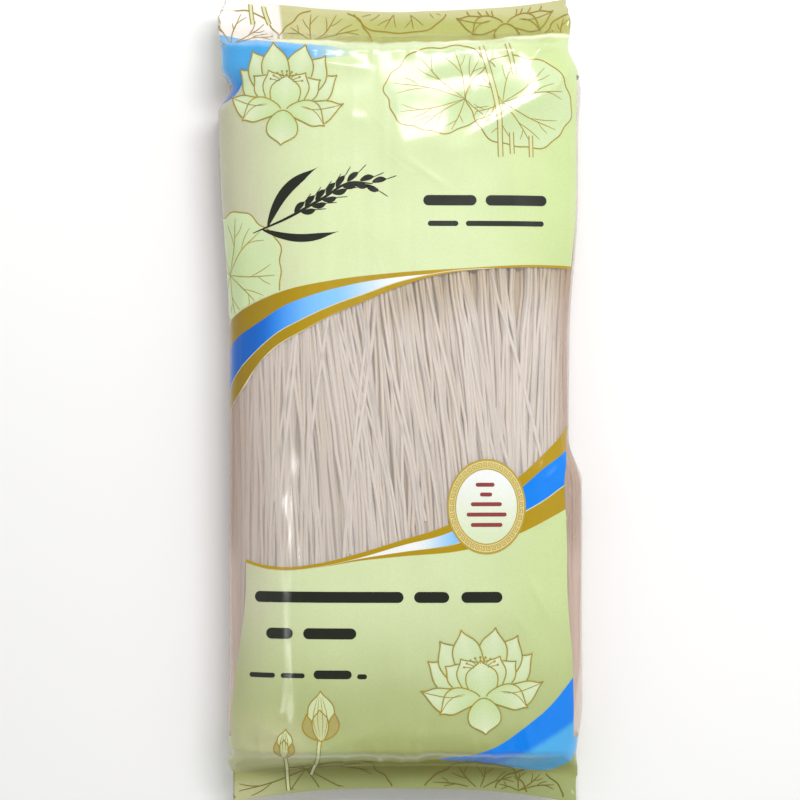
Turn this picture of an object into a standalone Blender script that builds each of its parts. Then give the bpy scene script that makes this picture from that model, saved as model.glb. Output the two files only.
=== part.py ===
"""Sealed film bag of dried rice vermicelli, lying on its back.

The bag is one closed solid: a side-gusseted film tube drawn tight over a straight bundle
of noodles, with a flat crimped seal across each end.  Its length runs along Y with the
bag's top end at +Y, its width along X, and the shown face up.  It rests on z = 0.
"""

import bmesh
import bpy
import numpy as np

# Driving dimensions, in metres.
BAG_LENGTH = 0.270
BAG_HEIGHT = 0.035
GIRTH_HEIGHT = 0.0155      # height of the widest line of the sides
REST_SINK = 0.0016         # depth of the rounded underside that lies pressed flat
SEAL_LENGTH = 0.0090       # flat crimped strip across each end
SEAL_THICKNESS = 0.0012
SEAL_HEIGHT = 0.0180       # height of the strip where it leaves the body
SEAL_DROOP = 0.0060        # how far the middle of the strip's edge hangs down
END_FALL = 0.0100          # length over which the face falls to the strip
KEEL_RISE = 0.0270         # length over which the underside climbs to the strip
END_PULL = 0.0040          # how far the middle of each end is drawn in
GUSSET_DEPTH = 0.0015      # inward fold of the sides beside each strip

# Side outlines, as distances from the centre line.
RIGHT_SIDE = 0.0595
RIGHT_WAIST = 0.0030
RIGHT_BULGE = 0.0014
RIGHT_SHOULDER = 0.0011
LEFT_SIDE = 0.0573
LEFT_SHOULDER = 0.0039
CORNER_TAPER = 0.0026
TUCKS = (                  # place along the left side, depth and half length of each tuck
    (0.1037, 0.0042, 0.0078),
    (-0.1180, 0.0012, 0.0030),
)

# Fullness of the section: 2 is an ellipse, higher is squarer.
FACE_FULLNESS = 3.1
BACK_FULLNESS = 3.8

# Mesh density.
RINGS = 101
QUARTER_POINTS = 13        # points on each quarter of a ring
SIDE_CROWDING = 1.25       # 1 spaces them evenly, higher crowds them towards the sides
DENSE_POINTS = 360         # points that a quarter is measured with

FILM_COLOUR = (0.62, 0.72, 0.36, 1.0)
FILM_ROUGHNESS = 0.32

HALF_LENGTH = BAG_LENGTH / 2
SEAL_START = HALF_LENGTH - SEAL_LENGTH


def clear_scene():
    for item in list(bpy.data.objects):
        bpy.data.objects.remove(item, do_unlink=True)


def ease(start, end, value):
    """Smooth step from 0 at start to 1 at end."""
    t = np.clip((value - start) / (end - start), 0.0, 1.0)
    return t * t * (3.0 - 2.0 * t)


def bump(centre, half_length, value):
    """Smooth hump of height 1 that is gone half_length away from centre."""
    return ease(1.0, 0.0, np.abs(value - centre) / half_length)


def right_side(y):
    """Distance of the right side from the centre line at station y."""
    waist = RIGHT_WAIST * ease(0.067, 0.020, y) * ease(-0.027, -0.014, y)
    bulge = RIGHT_BULGE * ease(-0.012, -0.028, y)
    shoulder = RIGHT_SHOULDER * bump(0.107, 0.016, y)
    head = CORNER_TAPER * (ease(0.109, 0.119, y) + 0.5 * ease(0.127, HALF_LENGTH, y))
    foot = 0.5 * CORNER_TAPER * ease(-0.108, -0.121, y)
    return RIGHT_SIDE - waist + bulge + shoulder - head - foot


def left_side(y):
    """Distance of the left side from the centre line at station y."""
    shoulder = LEFT_SHOULDER * ease(0.015, 0.095, y)
    hip = 0.35 * LEFT_SHOULDER * ease(-0.095, -0.110, y)
    head = CORNER_TAPER * ease(0.127, HALF_LENGTH, y)
    foot = CORNER_TAPER * ease(-0.1205, -0.1260, y)
    tucks = sum(depth * bump(place, reach, y) for place, depth, reach in TUCKS)
    return LEFT_SIDE + shoulder + hip - head - foot - tucks


def face_height(y):
    """Height of the shown face along the centre line, with the bundle's soft unevenness."""
    body = BAG_HEIGHT - 0.0006 * (1.0 - np.cos(y / 0.021)) * (1.0 - ease(0.08, 0.11, np.abs(y)))
    fall = ease(SEAL_START - END_FALL, SEAL_START, np.abs(y))
    return body + (SEAL_HEIGHT + SEAL_THICKNESS / 2 - body) * fall


def keel_height(y):
    """Height of the underside before it is pressed flat on the ground."""
    rise = ease(SEAL_START - KEEL_RISE, SEAL_START, np.abs(y))
    return -REST_SINK + (SEAL_HEIGHT - SEAL_THICKNESS / 2 + REST_SINK) * rise


def section(y):
    """Ring of the bag's section at station y, as (x, z) pairs from the right side over the face."""
    right, left = right_side(y), left_side(y)
    centre, half_width = (right - left) / 2, (right + left) / 2
    top, keel = face_height(y), keel_height(y)
    in_seal = ease(SEAL_START - END_FALL, SEAL_START, abs(y))
    middle = GIRTH_HEIGHT + (SEAL_HEIGHT - GIRTH_HEIGHT) * in_seal
    angle = np.arange(4 * DENSE_POINTS) * np.pi / (2 * DENSE_POINTS)
    cosine, sine = np.cos(angle), np.sin(angle)
    fullness = np.where(sine >= 0, FACE_FULLNESS, BACK_FULLNESS)
    reach = (np.abs(cosine) ** fullness + np.abs(sine) ** fullness) ** (-1 / fullness)
    x = reach * cosine * half_width
    z = middle + reach * sine * np.where(sine >= 0, top - middle, middle - keel)
    edge = np.abs(x) / half_width
    pocket = ease(0.100, 0.114, abs(y)) * ease(SEAL_START + 0.001, 0.114, abs(y))
    x = x - np.sign(x) * GUSSET_DEPTH * pocket * (1.0 - np.abs(sine)) * edge**4
    return resample(np.column_stack((x + centre, np.maximum(z, 0.0))))


def resample(ring):
    """The same ring with QUARTER_POINTS on each of its four quarters, closer near the sides."""
    closed = np.vstack((ring, ring[:1]))
    from_side = (np.arange(QUARTER_POINTS) / QUARTER_POINTS) ** SIDE_CROWDING
    to_side = 1.0 - (1.0 - np.arange(QUARTER_POINTS) / QUARTER_POINTS) ** SIDE_CROWDING
    quarters = []
    for number, shares in enumerate((from_side, to_side, from_side, to_side)):
        start = number * DENSE_POINTS
        quarter = closed[start:start + DENSE_POINTS + 1]
        lengths = np.hypot(*np.diff(quarter, axis=0).T)
        travelled = np.concatenate(((0.0,), np.cumsum(lengths)))
        wanted = shares * travelled[-1]
        quarters.append(np.column_stack([np.interp(wanted, travelled, line) for line in quarter.T]))
    return np.vstack(quarters)


def pucker(x, y):
    """Lift of the film by the creases that run out of the seals into the face."""
    depth = ease(0.088, 0.112, np.abs(y)) * ease(HALF_LENGTH, 0.118, np.abs(y))
    waves = np.sin(x / 0.0052 + 1.4 * np.sign(y)) + 0.6 * np.sin(x / 0.0031 + y / 0.009)
    return 0.00045 * depth * waves


def strip_sag(x, y):
    """Droop of the end strips: deepest in the middle, with lifted corners and a soft wave."""
    across = x / RIGHT_SIDE
    out = np.clip((np.abs(y) - SEAL_START + 0.004) / (SEAL_LENGTH + 0.004), 0.0, 1.0)
    wave = 0.0008 * np.sin(x / 0.0088 + 2.0 * np.sign(y))
    return out * (SEAL_DROOP * (1.0 - across**4) - 0.0015 * across**4 + wave)


def place_ring(y):
    """Points of the ring at station y in space, with creases, sag and the drawn-in end."""
    ring = section(y)
    x, z = ring[:, 0], ring[:, 1]
    raised = z + ease(GIRTH_HEIGHT, GIRTH_HEIGHT + 0.008, z) * pucker(x, y)
    height = np.where(z > 0.0, raised - strip_sag(x, y), z)
    across = np.clip(x / RIGHT_SIDE, -1.0, 1.0)
    pull = END_PULL * (1.0 - across**2) * ease(0.104, HALF_LENGTH, abs(y))
    return np.column_stack((x, y - np.sign(y) * pull, height))


def stations():
    """Places of the rings along the length, closer together in the shoulders and seals."""
    even = np.linspace(-1.0, 1.0, RINGS)
    return HALF_LENGTH * (0.5 * even + 0.5 * np.sin(even * np.pi / 2))


def centred(points):
    """Points moved so that their box is centred on the origin in X and Y and stands on z = 0."""
    low, high = points.min(axis=(0, 1)), points.max(axis=(0, 1))
    middle = (low + high) / 2
    return points - np.array((middle[0], middle[1], low[2]))


def loft(name, rings):
    """Closed mesh through the rings, capped at both ends by strips from face to back."""
    mesh = bpy.data.meshes.new(name)
    bm = bmesh.new()
    loops = [[bm.verts.new(point) for point in ring] for ring in rings]
    count = len(loops[0])
    for low, high in zip(loops, loops[1:]):
        for k in range(count):
            bm.faces.new((low[k], low[(k + 1) % count], high[(k + 1) % count], high[k]))
    for loop in (loops[0], loops[-1]):
        cap_end(bm, loop)
    bmesh.ops.recalc_face_normals(bm, faces=bm.faces[:])
    bmesh.ops.triangulate(bm, faces=bm.faces[:])
    bm.to_mesh(mesh)
    bm.free()
    return mesh


def cap_end(bm, loop):
    """Cut edge of a seal: quads from each face point to the back point below it."""
    count = len(loop)
    bm.faces.new((loop[0], loop[1], loop[-1]))
    for k in range(1, count // 2 - 1):
        bm.faces.new((loop[k], loop[k + 1], loop[count - k - 1], loop[count - k]))
    half = count // 2
    bm.faces.new((loop[half - 1], loop[half], loop[half + 1]))


def film_material():
    """Glossy printed film, in the colour of the bag's main field."""
    material = bpy.data.materials.new("printed_film")
    material.use_nodes = True
    shader = material.node_tree.nodes["Principled BSDF"]
    shader.inputs["Base Color"].default_value = FILM_COLOUR
    shader.inputs["Roughness"].default_value = FILM_ROUGHNESS
    shader.inputs["Metallic"].default_value = 0.0
    return material


def build_bag():
    rings = centred(np.array([place_ring(y) for y in stations()]))
    mesh = loft("sealed_bag", rings.tolist())
    mesh.materials.append(film_material())
    mesh.shade_smooth()
    bag = bpy.data.objects.new("sealed_bag", mesh)
    bpy.context.scene.collection.objects.link(bag)
    return bag


clear_scene()
build_bag()
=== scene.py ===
"""Sealed film bag of dried rice vermicelli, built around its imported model.

The bag lies on its back.  Its printed film has a curved clear window and clear sides, and the
straight bundle of dried strands shows through them.  Each operator in the sidebar panel makes
one piece or one group of like pieces, and main() runs them in order.
"""

import math
from contextlib import contextmanager
from functools import cache

import bmesh
import bpy
import numpy as np
from bpy.props import FloatProperty, FloatVectorProperty, IntProperty, PointerProperty
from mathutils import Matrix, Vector
from mathutils.bvhtree import BVHTree


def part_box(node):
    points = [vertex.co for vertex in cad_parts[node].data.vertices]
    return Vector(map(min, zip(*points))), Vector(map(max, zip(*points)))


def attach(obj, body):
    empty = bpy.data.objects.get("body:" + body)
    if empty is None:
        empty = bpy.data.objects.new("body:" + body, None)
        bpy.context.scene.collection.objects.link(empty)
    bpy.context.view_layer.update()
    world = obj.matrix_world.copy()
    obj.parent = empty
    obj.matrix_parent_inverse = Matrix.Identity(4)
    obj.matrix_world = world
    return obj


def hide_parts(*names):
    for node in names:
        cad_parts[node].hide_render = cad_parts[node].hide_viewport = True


bl_info = {
    "name": "Rice vermicelli bag",
    "version": (1, 0, 0),
    "blender": (4, 5, 0),
    "location": "3D View > Sidebar > Noodle bag",
    "description": "Builds a sealed film bag of dried rice vermicelli around its packed model",
    "category": "Object",
}

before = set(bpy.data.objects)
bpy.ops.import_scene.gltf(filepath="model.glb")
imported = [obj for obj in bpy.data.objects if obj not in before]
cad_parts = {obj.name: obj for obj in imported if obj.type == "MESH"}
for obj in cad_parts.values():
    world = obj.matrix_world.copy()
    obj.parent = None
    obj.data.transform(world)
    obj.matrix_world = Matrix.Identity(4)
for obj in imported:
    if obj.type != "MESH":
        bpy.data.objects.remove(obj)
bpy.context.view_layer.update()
NODE = "sealed_bag"
BODY = "root"
BAG_LOW, BAG_HIGH = (np.array(corner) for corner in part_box(NODE))
MM = 0.001

# ------------------------------------------------------------------ outline of the bag
# The bag's own outline, in metres, as its solid has it.
HALF_LENGTH = 0.135
BAG_HEIGHT = 0.035
GIRTH_HEIGHT = 0.0155
REST_SINK = 0.0016
SEAL_LENGTH = 0.0090
SEAL_HEIGHT = 0.0180
SEAL_DROOP = 0.0060
SEAL_THICKNESS = 0.0007
END_FALL = 0.0100
KEEL_RISE = 0.0270
END_PULL = 0.0040
GUSSET_DEPTH = 0.0015
FIN_ROOM = 0.0006      # height of the underside, which leaves room for the back fin
PRESSED = 0.0012       # height over FIN_ROOM below which the underside has no creases
FLOOR_GAP = 0.0002     # least height of the film
RIGHT_SIDE = 0.0595
LEFT_SIDE = 0.0573
CORNER_TAPER = 0.0026
FACE_FULLNESS = 3.1
BACK_FULLNESS = 3.8
SEAL_START = HALF_LENGTH - SEAL_LENGTH

# Where the print ends beside the clear sides, and along the back.
STRIP_LOW = -0.112
STRIP_HIGH = 0.108
BACK_PANEL = 0.056
BACK_WINDOW = (-0.060, 0.045)

# Edges of the print, in millimetres on the flat film: across, then along.
WINDOW_TOP = ((-64, -9), (-55.2, 1.5), (-51.4, 5.7), (-48, 10.8), (-41.2, 17.2), (-31, 23.1),
              (-22.4, 27.8), (-12.2, 32.1), (-2, 36.5), (10, 40.4), (22.6, 42.5), (39.6, 43.6), (60, 43.4))
WINDOW_FOOT = ((-56, -51.6), (-52.3, -52.7), (-46, -54.3), (-40, -55), (-26.7, -53.7), (-13.3, -50.3),
               (0, -46.2), (15.3, -41.2), (28, -34), (39, -25.4), (45.9, -19.4), (56.1, -10.5))
UPPER_GOLD_TOP = ((-64, 24), (-56.5, 28), (-48, 32.3), (-38.3, 36), (-23.3, 39.2), (0, 41.9),
                  (22.6, 43.4), (39.6, 44.4), (60, 44.4))
UPPER_BLUE_TOP = ((-64, 15), (-56.5, 20), (-46.3, 26.1), (-38.7, 30.8), (-30, 34.2), (-15.7, 38),
                  (10, 41.4), (60, 43.2))
UPPER_BLUE_FOOT = ((-64, 0), (-55.7, 9.1), (-48.4, 16), (-41.2, 21.9), (-32.7, 26.5), (-22.4, 31.2),
                   (-11.4, 35.1), (-2, 38.5), (9.9, 41.4), (60, 43.3))
LOWER_BLUE_TOP = ((-56, -52.6), (-46, -55.3), (-40, -56), (-26.7, -54.8), (-13.3, -51.8), (0, -47.9),
                  (15.8, -43.6), (40.3, -28.6), (45.9, -23.7), (57, -16.6))
LOWER_BLUE_FOOT = ((-56, -52.7), (-40, -56.1), (-26.7, -54.9), (-13.3, -52.1), (0, -50), (17.7, -47.2),
                   (41.4, -36.3), (45.9, -33.9), (57, -26.4))
LOWER_GOLD_FOOT = ((-56, -52.8), (-40, -56.2), (-26.7, -55.0), (-13.3, -52.8), (0, -51.4), (21.4, -49.2),
                   (39.5, -43.8), (45.9, -40.8), (57, -35.2))
CORNER_SWOOSH_TOP = ((-66, 123), (-60, 121.8), (-50, 119.2), (-40, 117.4), (-27, 116.4), (-6, 114))
CORNER_SWOOSH_FOOT = ((-66, 98), (-60, 99), (-56, 101.5), (-53, 105.5), (-46, 109.5), (-30, 111.5),
                      (-6, 113.8))
HEAD_RIDGE = ((-62, 117.3), (-40, 118.2), (-15, 118), (10, 117.8), (25, 118.5), (40, 120.4), (62, 122.5))
FOOT_RIDGE = ((-62, -125), (-45, -122.5), (-25, -119.7), (0, -118.9), (30, -119.7), (43, -123.4),
              (62, -126.5))
FOOT_SWOOSH_TOP = ((12, -118.6), (25.5, -115.7), (32.3, -113.4), (40.4, -108), (49.2, -101.3), (56.4, -94),
                   (66, -85))
FOOT_SWOOSH_FOOT = ((12, -118.7), (21, -120), (29.8, -121.7), (44.6, -123.8), (51.3, -123), (60.5, -117.8),
                    (66, -114))


def ease(start, end, value):
    """Smooth step from 0 at start to 1 at end."""
    t = np.clip((value - start) / (end - start), 0.0, 1.0)
    return t * t * (3.0 - 2.0 * t)


def bump(centre, reach, value):
    """Smooth hump of height 1 that is gone at reach away from centre."""
    return ease(1.0, 0.0, np.abs(value - centre) / reach)


def on_curve(xs, ys, slopes, value):
    """Smooth curve with the given slopes through ys at xs, read at value."""
    k = np.clip(np.searchsorted(xs, value) - 1, 0, len(xs) - 2)
    width = xs[k + 1] - xs[k]
    t = (value - xs[k]) / width
    if ys.ndim > 1:
        width, t = width[:, None], t[:, None]
    return (
        ys[k] * (1 + 2 * t) * (1 - t) ** 2
        + slopes[k] * width * t * (1 - t) ** 2
        + ys[k + 1] * t * t * (3 - 2 * t)
        - slopes[k + 1] * width * t * t * (1 - t)
    )


def through(points, value):
    """Height at value of the smooth curve through given points, straight beyond its ends."""
    xs, ys = np.array(points, float).T
    slopes = np.gradient(ys, xs)
    inside = np.clip(value, xs[0], xs[-1])
    end_slope = np.where(value < xs[0], slopes[0], slopes[-1])
    return on_curve(xs, ys, slopes, inside) + end_slope * (value - inside)


def right_side(y):
    waist = 0.0030 * ease(0.067, 0.020, y) * ease(-0.027, -0.014, y)
    bulge = 0.0014 * ease(-0.012, -0.028, y)
    shoulder = 0.0011 * bump(0.107, 0.016, y)
    head = CORNER_TAPER * (ease(0.109, 0.119, y) + 0.5 * ease(0.127, HALF_LENGTH, y))
    foot = 0.5 * CORNER_TAPER * ease(-0.108, -0.121, y)
    return RIGHT_SIDE - waist + bulge + shoulder - head - foot


def left_side(y):
    shoulder = 0.0039 * ease(0.015, 0.095, y) + 0.001365 * ease(-0.095, -0.110, y)
    corners = CORNER_TAPER * (ease(0.127, HALF_LENGTH, y) + ease(-0.1205, -0.1260, y))
    tucks = 0.0042 * bump(0.1037, 0.0078, y) + 0.0012 * bump(-0.1180, 0.0030, y)
    return LEFT_SIDE + shoulder - corners - tucks


def face_height(y):
    body = BAG_HEIGHT - 0.0006 * (1.0 - np.cos(y / 0.021)) * (1.0 - ease(0.08, 0.11, np.abs(y)))
    fall = ease(SEAL_START - END_FALL, SEAL_START, np.abs(y))
    return body + (SEAL_HEIGHT + SEAL_THICKNESS / 2 - body) * fall


def keel_height(y):
    rise = ease(SEAL_START - KEEL_RISE, SEAL_START, np.abs(y))
    return -REST_SINK + (SEAL_HEIGHT - SEAL_THICKNESS / 2 + REST_SINK) * rise


def strip_sag(x, y):
    """Droop of the end strips: deepest in the middle, with lifted corners and a soft wave."""
    across = x / RIGHT_SIDE
    out = np.clip((np.abs(y) - SEAL_START + 0.004) / (SEAL_LENGTH + 0.004), 0.0, 1.0)
    wave = 0.0008 * np.sin(x / 0.0088 + 2.0 * np.sign(y))
    return out * (SEAL_DROOP * (1.0 - across**4) - 0.0015 * across**4 + wave)


# ------------------------------------------------------------------ the film's surface
# A place on the film is a ring place s and a station y.  s is 0 along the middle of the face,
# 1 along the right side, -1 along the left side and 2 or -2 along the middle of the back.
class FilmSurface:
    """The bag's skin, measured once and then read at any ring place and station."""

    STATIONS = 811
    STEPS = 160            # table columns on each quarter of a ring
    DENSE = 300

    def __init__(self):
        self.y = np.linspace(-HALF_LENGTH, HALF_LENGTH, self.STATIONS)
        quarters = [self.quarter(k) for k in range(4)]
        self.x = np.concatenate([q[0][:, :-1] for q in quarters] + [quarters[3][0][:, -1:]], axis=1)
        self.z = np.concatenate([q[1][:, :-1] for q in quarters] + [quarters[3][1][:, -1:]], axis=1)
        self.lengths = np.array([q[2] for q in quarters])
        self.middle = self.x[:, 2 * self.STEPS]
        self.shift, self.scale = np.zeros(3), np.ones(3)
        self.fit()

    def quarter(self, number):
        """x, z and length of one quarter of every ring, evenly spaced along its length."""
        place = np.linspace(number - 2.0, number - 1.0, self.DENSE)
        angle = (1.0 - place) * np.pi / 2
        y = self.y[:, None]
        cosine, sine = np.cos(angle)[None, :], np.sin(angle)[None, :]
        cosine = np.where(np.abs(cosine) < 1e-9, 0.0, cosine)
        right, left = right_side(y), left_side(y)
        centre, half_width = (right - left) / 2, (right + left) / 2
        in_seal = ease(SEAL_START - END_FALL, SEAL_START, np.abs(y))
        girth = GIRTH_HEIGHT + (SEAL_HEIGHT - GIRTH_HEIGHT) * in_seal
        fullness = FACE_FULLNESS if number in (1, 2) else BACK_FULLNESS
        reach = (np.abs(cosine) ** fullness + np.abs(sine) ** fullness) ** (-1 / fullness)
        x = reach * cosine * half_width
        span = face_height(y) - girth if number in (1, 2) else girth - keel_height(y)
        z = girth + reach * sine * span
        pocket = ease(0.100, 0.114, np.abs(y)) * ease(SEAL_START + 0.001, 0.114, np.abs(y))
        edge = (np.abs(x) / half_width) ** 4
        x = x - np.sign(x) * GUSSET_DEPTH * pocket * (1.0 - np.abs(sine)) * edge + centre
        z = np.maximum(z, FIN_ROOM)
        steps = np.hypot(np.diff(x, axis=1), np.diff(z, axis=1))
        lengths = np.concatenate((np.zeros((len(self.y), 1)), np.cumsum(steps, axis=1)), axis=1)
        shares = np.linspace(0.0, 1.0, self.STEPS + 1)
        even_x, even_z = np.empty((2, len(self.y), self.STEPS + 1))
        for row, total in enumerate(lengths[:, -1]):
            even_x[row] = np.interp(shares * total, lengths[row], x[row])
            even_z[row] = np.interp(shares * total, lengths[row], z[row])
        return even_x, even_z, lengths[:, -1]

    def fit(self):
        """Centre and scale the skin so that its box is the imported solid's box."""
        s, y = np.meshgrid(np.linspace(-2, 2, 321), self.y[::3])
        points = self.point(s, y).reshape(-1, 3)
        low, high = points.min(0), points.max(0)
        self.scale[:2] = (BAG_HIGH - BAG_LOW)[:2] / (high - low)[:2]
        self.shift[:2] = ((BAG_HIGH + BAG_LOW) / 2)[:2] - (low + high)[:2] / 2 * self.scale[:2]

    def read(self, table, s, y):
        """Table value at ring places s and stations y, blended between its nearest entries."""
        row = np.clip((y + HALF_LENGTH) / (2 * HALF_LENGTH) * (self.STATIONS - 1), 0, self.STATIONS - 1)
        column = np.clip((s + 2.0) * self.STEPS, 0, 4 * self.STEPS)
        r = np.minimum(row.astype(int), self.STATIONS - 2)
        c = np.minimum(column.astype(int), 4 * self.STEPS - 1)
        down, over = row - r, column - c
        first = table[r, c] * (1 - over) + table[r, c + 1] * over
        second = table[r + 1, c] * (1 - over) + table[r + 1, c + 1] * over
        return first * (1 - down) + second * down

    def point(self, s, y):
        """Smooth skin point, before creases and slack."""
        x, z = self.read(self.x, s, y), self.read(self.z, s, y)
        z = np.where(z > FIN_ROOM + 1e-5, z - strip_sag(x, y), z)
        across = np.clip(x / RIGHT_SIDE, -1.0, 1.0)
        pull = END_PULL * (1.0 - across**2) * ease(0.104, HALF_LENGTH, np.abs(y))
        point = np.stack((x, y - np.sign(y) * pull, z), axis=-1)
        return point * self.scale + self.shift

    def normal(self, s, y, reach=0.0008):
        """Outward direction of the smooth skin."""
        step = reach / 0.068
        low, high = np.clip(s - step, -2, 2), np.clip(s + step, -2, 2)
        back, front = np.maximum(y - reach, -HALF_LENGTH), np.minimum(y + reach, HALF_LENGTH)
        across = self.point(high, y) - self.point(low, y)
        along = self.point(s, front) - self.point(s, back)
        direction = np.cross(across, along)
        return direction / np.maximum(np.linalg.norm(direction, axis=-1, keepdims=True), 1e-12)

    def girth(self, y):
        """Lengths of the four quarters and the middle line's x, at stations y."""
        quarter = [np.interp(y, self.y, length) for length in self.lengths]
        return quarter, np.interp(y, self.y, self.middle)

    def to_flat(self, s, y):
        """Distance across the flat film from the bag's centre line."""
        (back_left, left, right, back_right), middle = self.girth(y)
        arc = np.where(
            s >= 0,
            np.minimum(s, 1) * right + np.maximum(s - 1, 0) * back_right,
            np.maximum(s, -1) * left + np.minimum(s + 1, 0) * back_left,
        )
        return arc + middle

    def from_flat(self, u, y):
        """Ring place of the flat distance u."""
        (back_left, left, right, back_right), middle = self.girth(y)
        arc = u - middle
        rightward = np.where(arc <= right, arc / right, 1 + (arc - right) / back_right)
        leftward = np.where(-arc <= left, arc / left, -1 + (arc + left) / back_left)
        return np.clip(np.where(arc >= 0, rightward, leftward), -2.0, 2.0)

    def station(self, u, v):
        """Station of the film's place u across and v along, as seen from above."""
        y = np.array(v, float)
        for _ in range(4):
            y = y + v - self.point(self.from_flat(u, y), y)[..., 1]
        return y


SKIN = FilmSurface()


def lattice_noise(x, y, seed):
    """Smooth noise between -1 and 1, one random value per unit square."""
    table = np.random.default_rng(seed).uniform(-1.0, 1.0, (256, 256))
    column, row = np.floor(x).astype(int), np.floor(y).astype(int)
    over, up = ease(0.0, 1.0, x - column), ease(0.0, 1.0, y - row)

    def between_columns(row):
        return table[row % 256, column % 256] * (1 - over) + table[row % 256, (column + 1) % 256] * over

    return between_columns(row) * (1 - up) + between_columns(row + 1) * up


# Named creases of the film: across, along, length and bend in mm, angle in degrees from the
# bag's width, height and half width in mm.
CREASES = (
    (39, 95.5, 52, 0.0, 30, 1.0, 2.7),
    (7, 84.5, 34, 0.0, 10, 1.35, 7.5),
    (22, 83, 22, 0.0, 12, 0.35, 2.2),
    (8, 75, 24, 0.0, -35, 0.30, 0.8),
    (-14, 92, 12, 0.0, -8, 0.35, 2.6),
    (-41, -14, 88, 0.0, 89, 0.42, 1.1),
    (-42.5, -45, 24, 0.0, 86, 0.35, 0.5),
    (-53, 22, 60, 0.0, 89, 0.35, 1.0),
    (-55.5, -70, 66, 0.0, 92, -0.30, 1.0),
    (46, -66, 22, 0.004, 118, 0.40, 0.7),
    (40, -74, 12, 0.0, 128, 0.30, 0.6),
    (51, -24, 9, 0.0, 40, 0.35, 0.6),
    (47, -22, 6, 0.0, 80, 0.30, 0.5),
    (55, -29, 12, 0.02, -40, 0.45, 0.6),
    (57, -38, 10, -0.02, 35, 0.45, 0.6),
    (-34, 118.2, 62, 0.0, 1, 0.50, 0.8),
    (14, 118.0, 44, 0.0, 1, 0.55, 0.9),
    (45, 121.0, 34, 0.0, 6, 0.75, 0.9),
    (56, 108, 9, 0.0, 70, 0.45, 0.8),
    (54, 92, 8, 0.0, 25, 0.30, 0.7),
    (-40, -122.4, 40, 0.0, 7, 0.60, 0.9),
    (2, -119.0, 56, 0.0, 0, 0.55, 0.9),
    (42, -122.4, 34, 0.0, -10, 0.60, 0.9),
    (26, -113, 15, 0.0, 12, 0.75, 3.0),
    (-18, -112.5, 26, 0.0, 16, 0.80, 2.8),
    (-40, -110.5, 24, 0.0, -24, 0.70, 2.4),
    (12, -110, 26, 0.0, 6, 0.70, 3.2),
    (2, -117, 18, 0.0, -6, 0.70, 2.6),
    (-45, -108, 16, 0.0, 60, 0.50, 1.6),
    (-50, -114, 14, 0.0, 20, -0.55, 1.6),
    (20, 106, 30, 0.0, 8, -0.45, 2.2),
    (-20, 110, 26, 0.0, 172, 0.45, 1.8),
    (54, 106, 12, 0.0, 62, 0.55, 1.2),
    (50, 117, 12, 0.0, 15, 0.60, 1.4),
)


def crease(u, v, place):
    """Height of one long narrow fold at flat places u and v, in millimetres."""
    across, along, length, bend, angle, height, half_width = place
    turn = math.radians(angle)
    run = (u - across) * math.cos(turn) + (v - along) * math.sin(turn)
    off = (v - along) * math.cos(turn) - (u - across) * math.sin(turn) + bend * run * run
    fade = ease(1.0, 0.25, np.abs(run) / (length / 2))
    return height * fade / (1.0 + (off / half_width) ** 2)


def end_creases():
    """Random gathers that run from each seal into the body, longest at the corners."""
    rng = np.random.default_rng(41)
    folds = []
    for end in (-1, 1):
        for across in np.linspace(-57, 57, 25):
            length = rng.uniform(8, 17) + 9 * (abs(across) / 57) ** 3
            along = end * (121 - length * rng.uniform(0.1, 0.5))
            lean = -0.5 * end * across + rng.normal(0, 14)
            height = rng.uniform(0.12, 0.42) * rng.choice((-1, 1))
            across = across + rng.uniform(-2, 2)
            folds.append((across, along, length, 0.0, 90 + lean, height, rng.uniform(0.7, 1.7)))
    return folds


FOLDS = CREASES + tuple(end_creases())


def film_relief(u, v, y):
    """How far the film stands off the smooth skin, in metres: slack, folds and strands below."""
    um, vm = u / MM, v / MM
    body = ease(0.1255, 0.114, np.abs(y))
    slack = 0.16 * lattice_noise(um / 17, vm / 23, 3) + 0.07 * lattice_noise(um / 6, vm / 11, 5)
    strands = 0.05 * lattice_noise(um / 1.7, vm / 38, 8) + 0.06 * lattice_noise(um / 4.1, vm / 60, 9)
    height = body * (slack + strands)
    folds = sum(crease(um, vm, place) for place in FOLDS)
    height = height + folds * ease(0.1335, 0.122, np.abs(y))
    height = np.where(height < 0, 0.25 * np.tanh(height / 0.25), height)
    wobble = 0.25 * lattice_noise(um / 9, vm / 14 + 40, 12) * ease(0.117, 0.127, np.abs(y))
    return (height + wobble) * MM


def film_point(s, y):
    """Point of the finished film."""
    smooth = SKIN.point(s, y)
    relief = film_relief(SKIN.to_flat(s, y), smooth[..., 1], y)
    underside = np.abs(s) > 1.0
    relief = np.where(underside & (smooth[..., 2] < FIN_ROOM + PRESSED), 0.0, relief)
    point = smooth + SKIN.normal(s, y) * relief[..., None]
    point[..., 2] = np.maximum(point[..., 2], FLOOR_GAP)
    return point


# ------------------------------------------------------------------ grid of the film
ZONES = ("back_left", "left", "face", "right", "back_right")
ZONE_COLUMNS = (34, 26, 172, 26, 34)
ROWS = (("foot_seal", 38), ("foot_slope", 24), ("lower", 84), ("window", 118), ("upper", 96),
        ("head_slope", 28), ("head_seal", 38))


def left_print_edge(y):
    return -0.052 - 0.012 * ease(-0.046, 0.000, y) - 0.0075 * ease(-0.060, -0.112, y)


# Right edge of the print on the flat film, in millimetres: along, then across.
RIGHT_EDGE = ((-118, 60), (-107, 59.2), (-86, 58.3), (-66, 56.2), (-45, 55.8), (-36, 55.3), (-27.5, 54.8),
              (-19, 56.6), (-10.5, 58.6), (10, 57.4), (30, 57.9), (62, 61.3), (110, 61.3))


def right_print_edge(y):
    return through(RIGHT_EDGE, np.clip(y / MM, RIGHT_EDGE[0][0], RIGHT_EDGE[-1][0])) * MM


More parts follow.
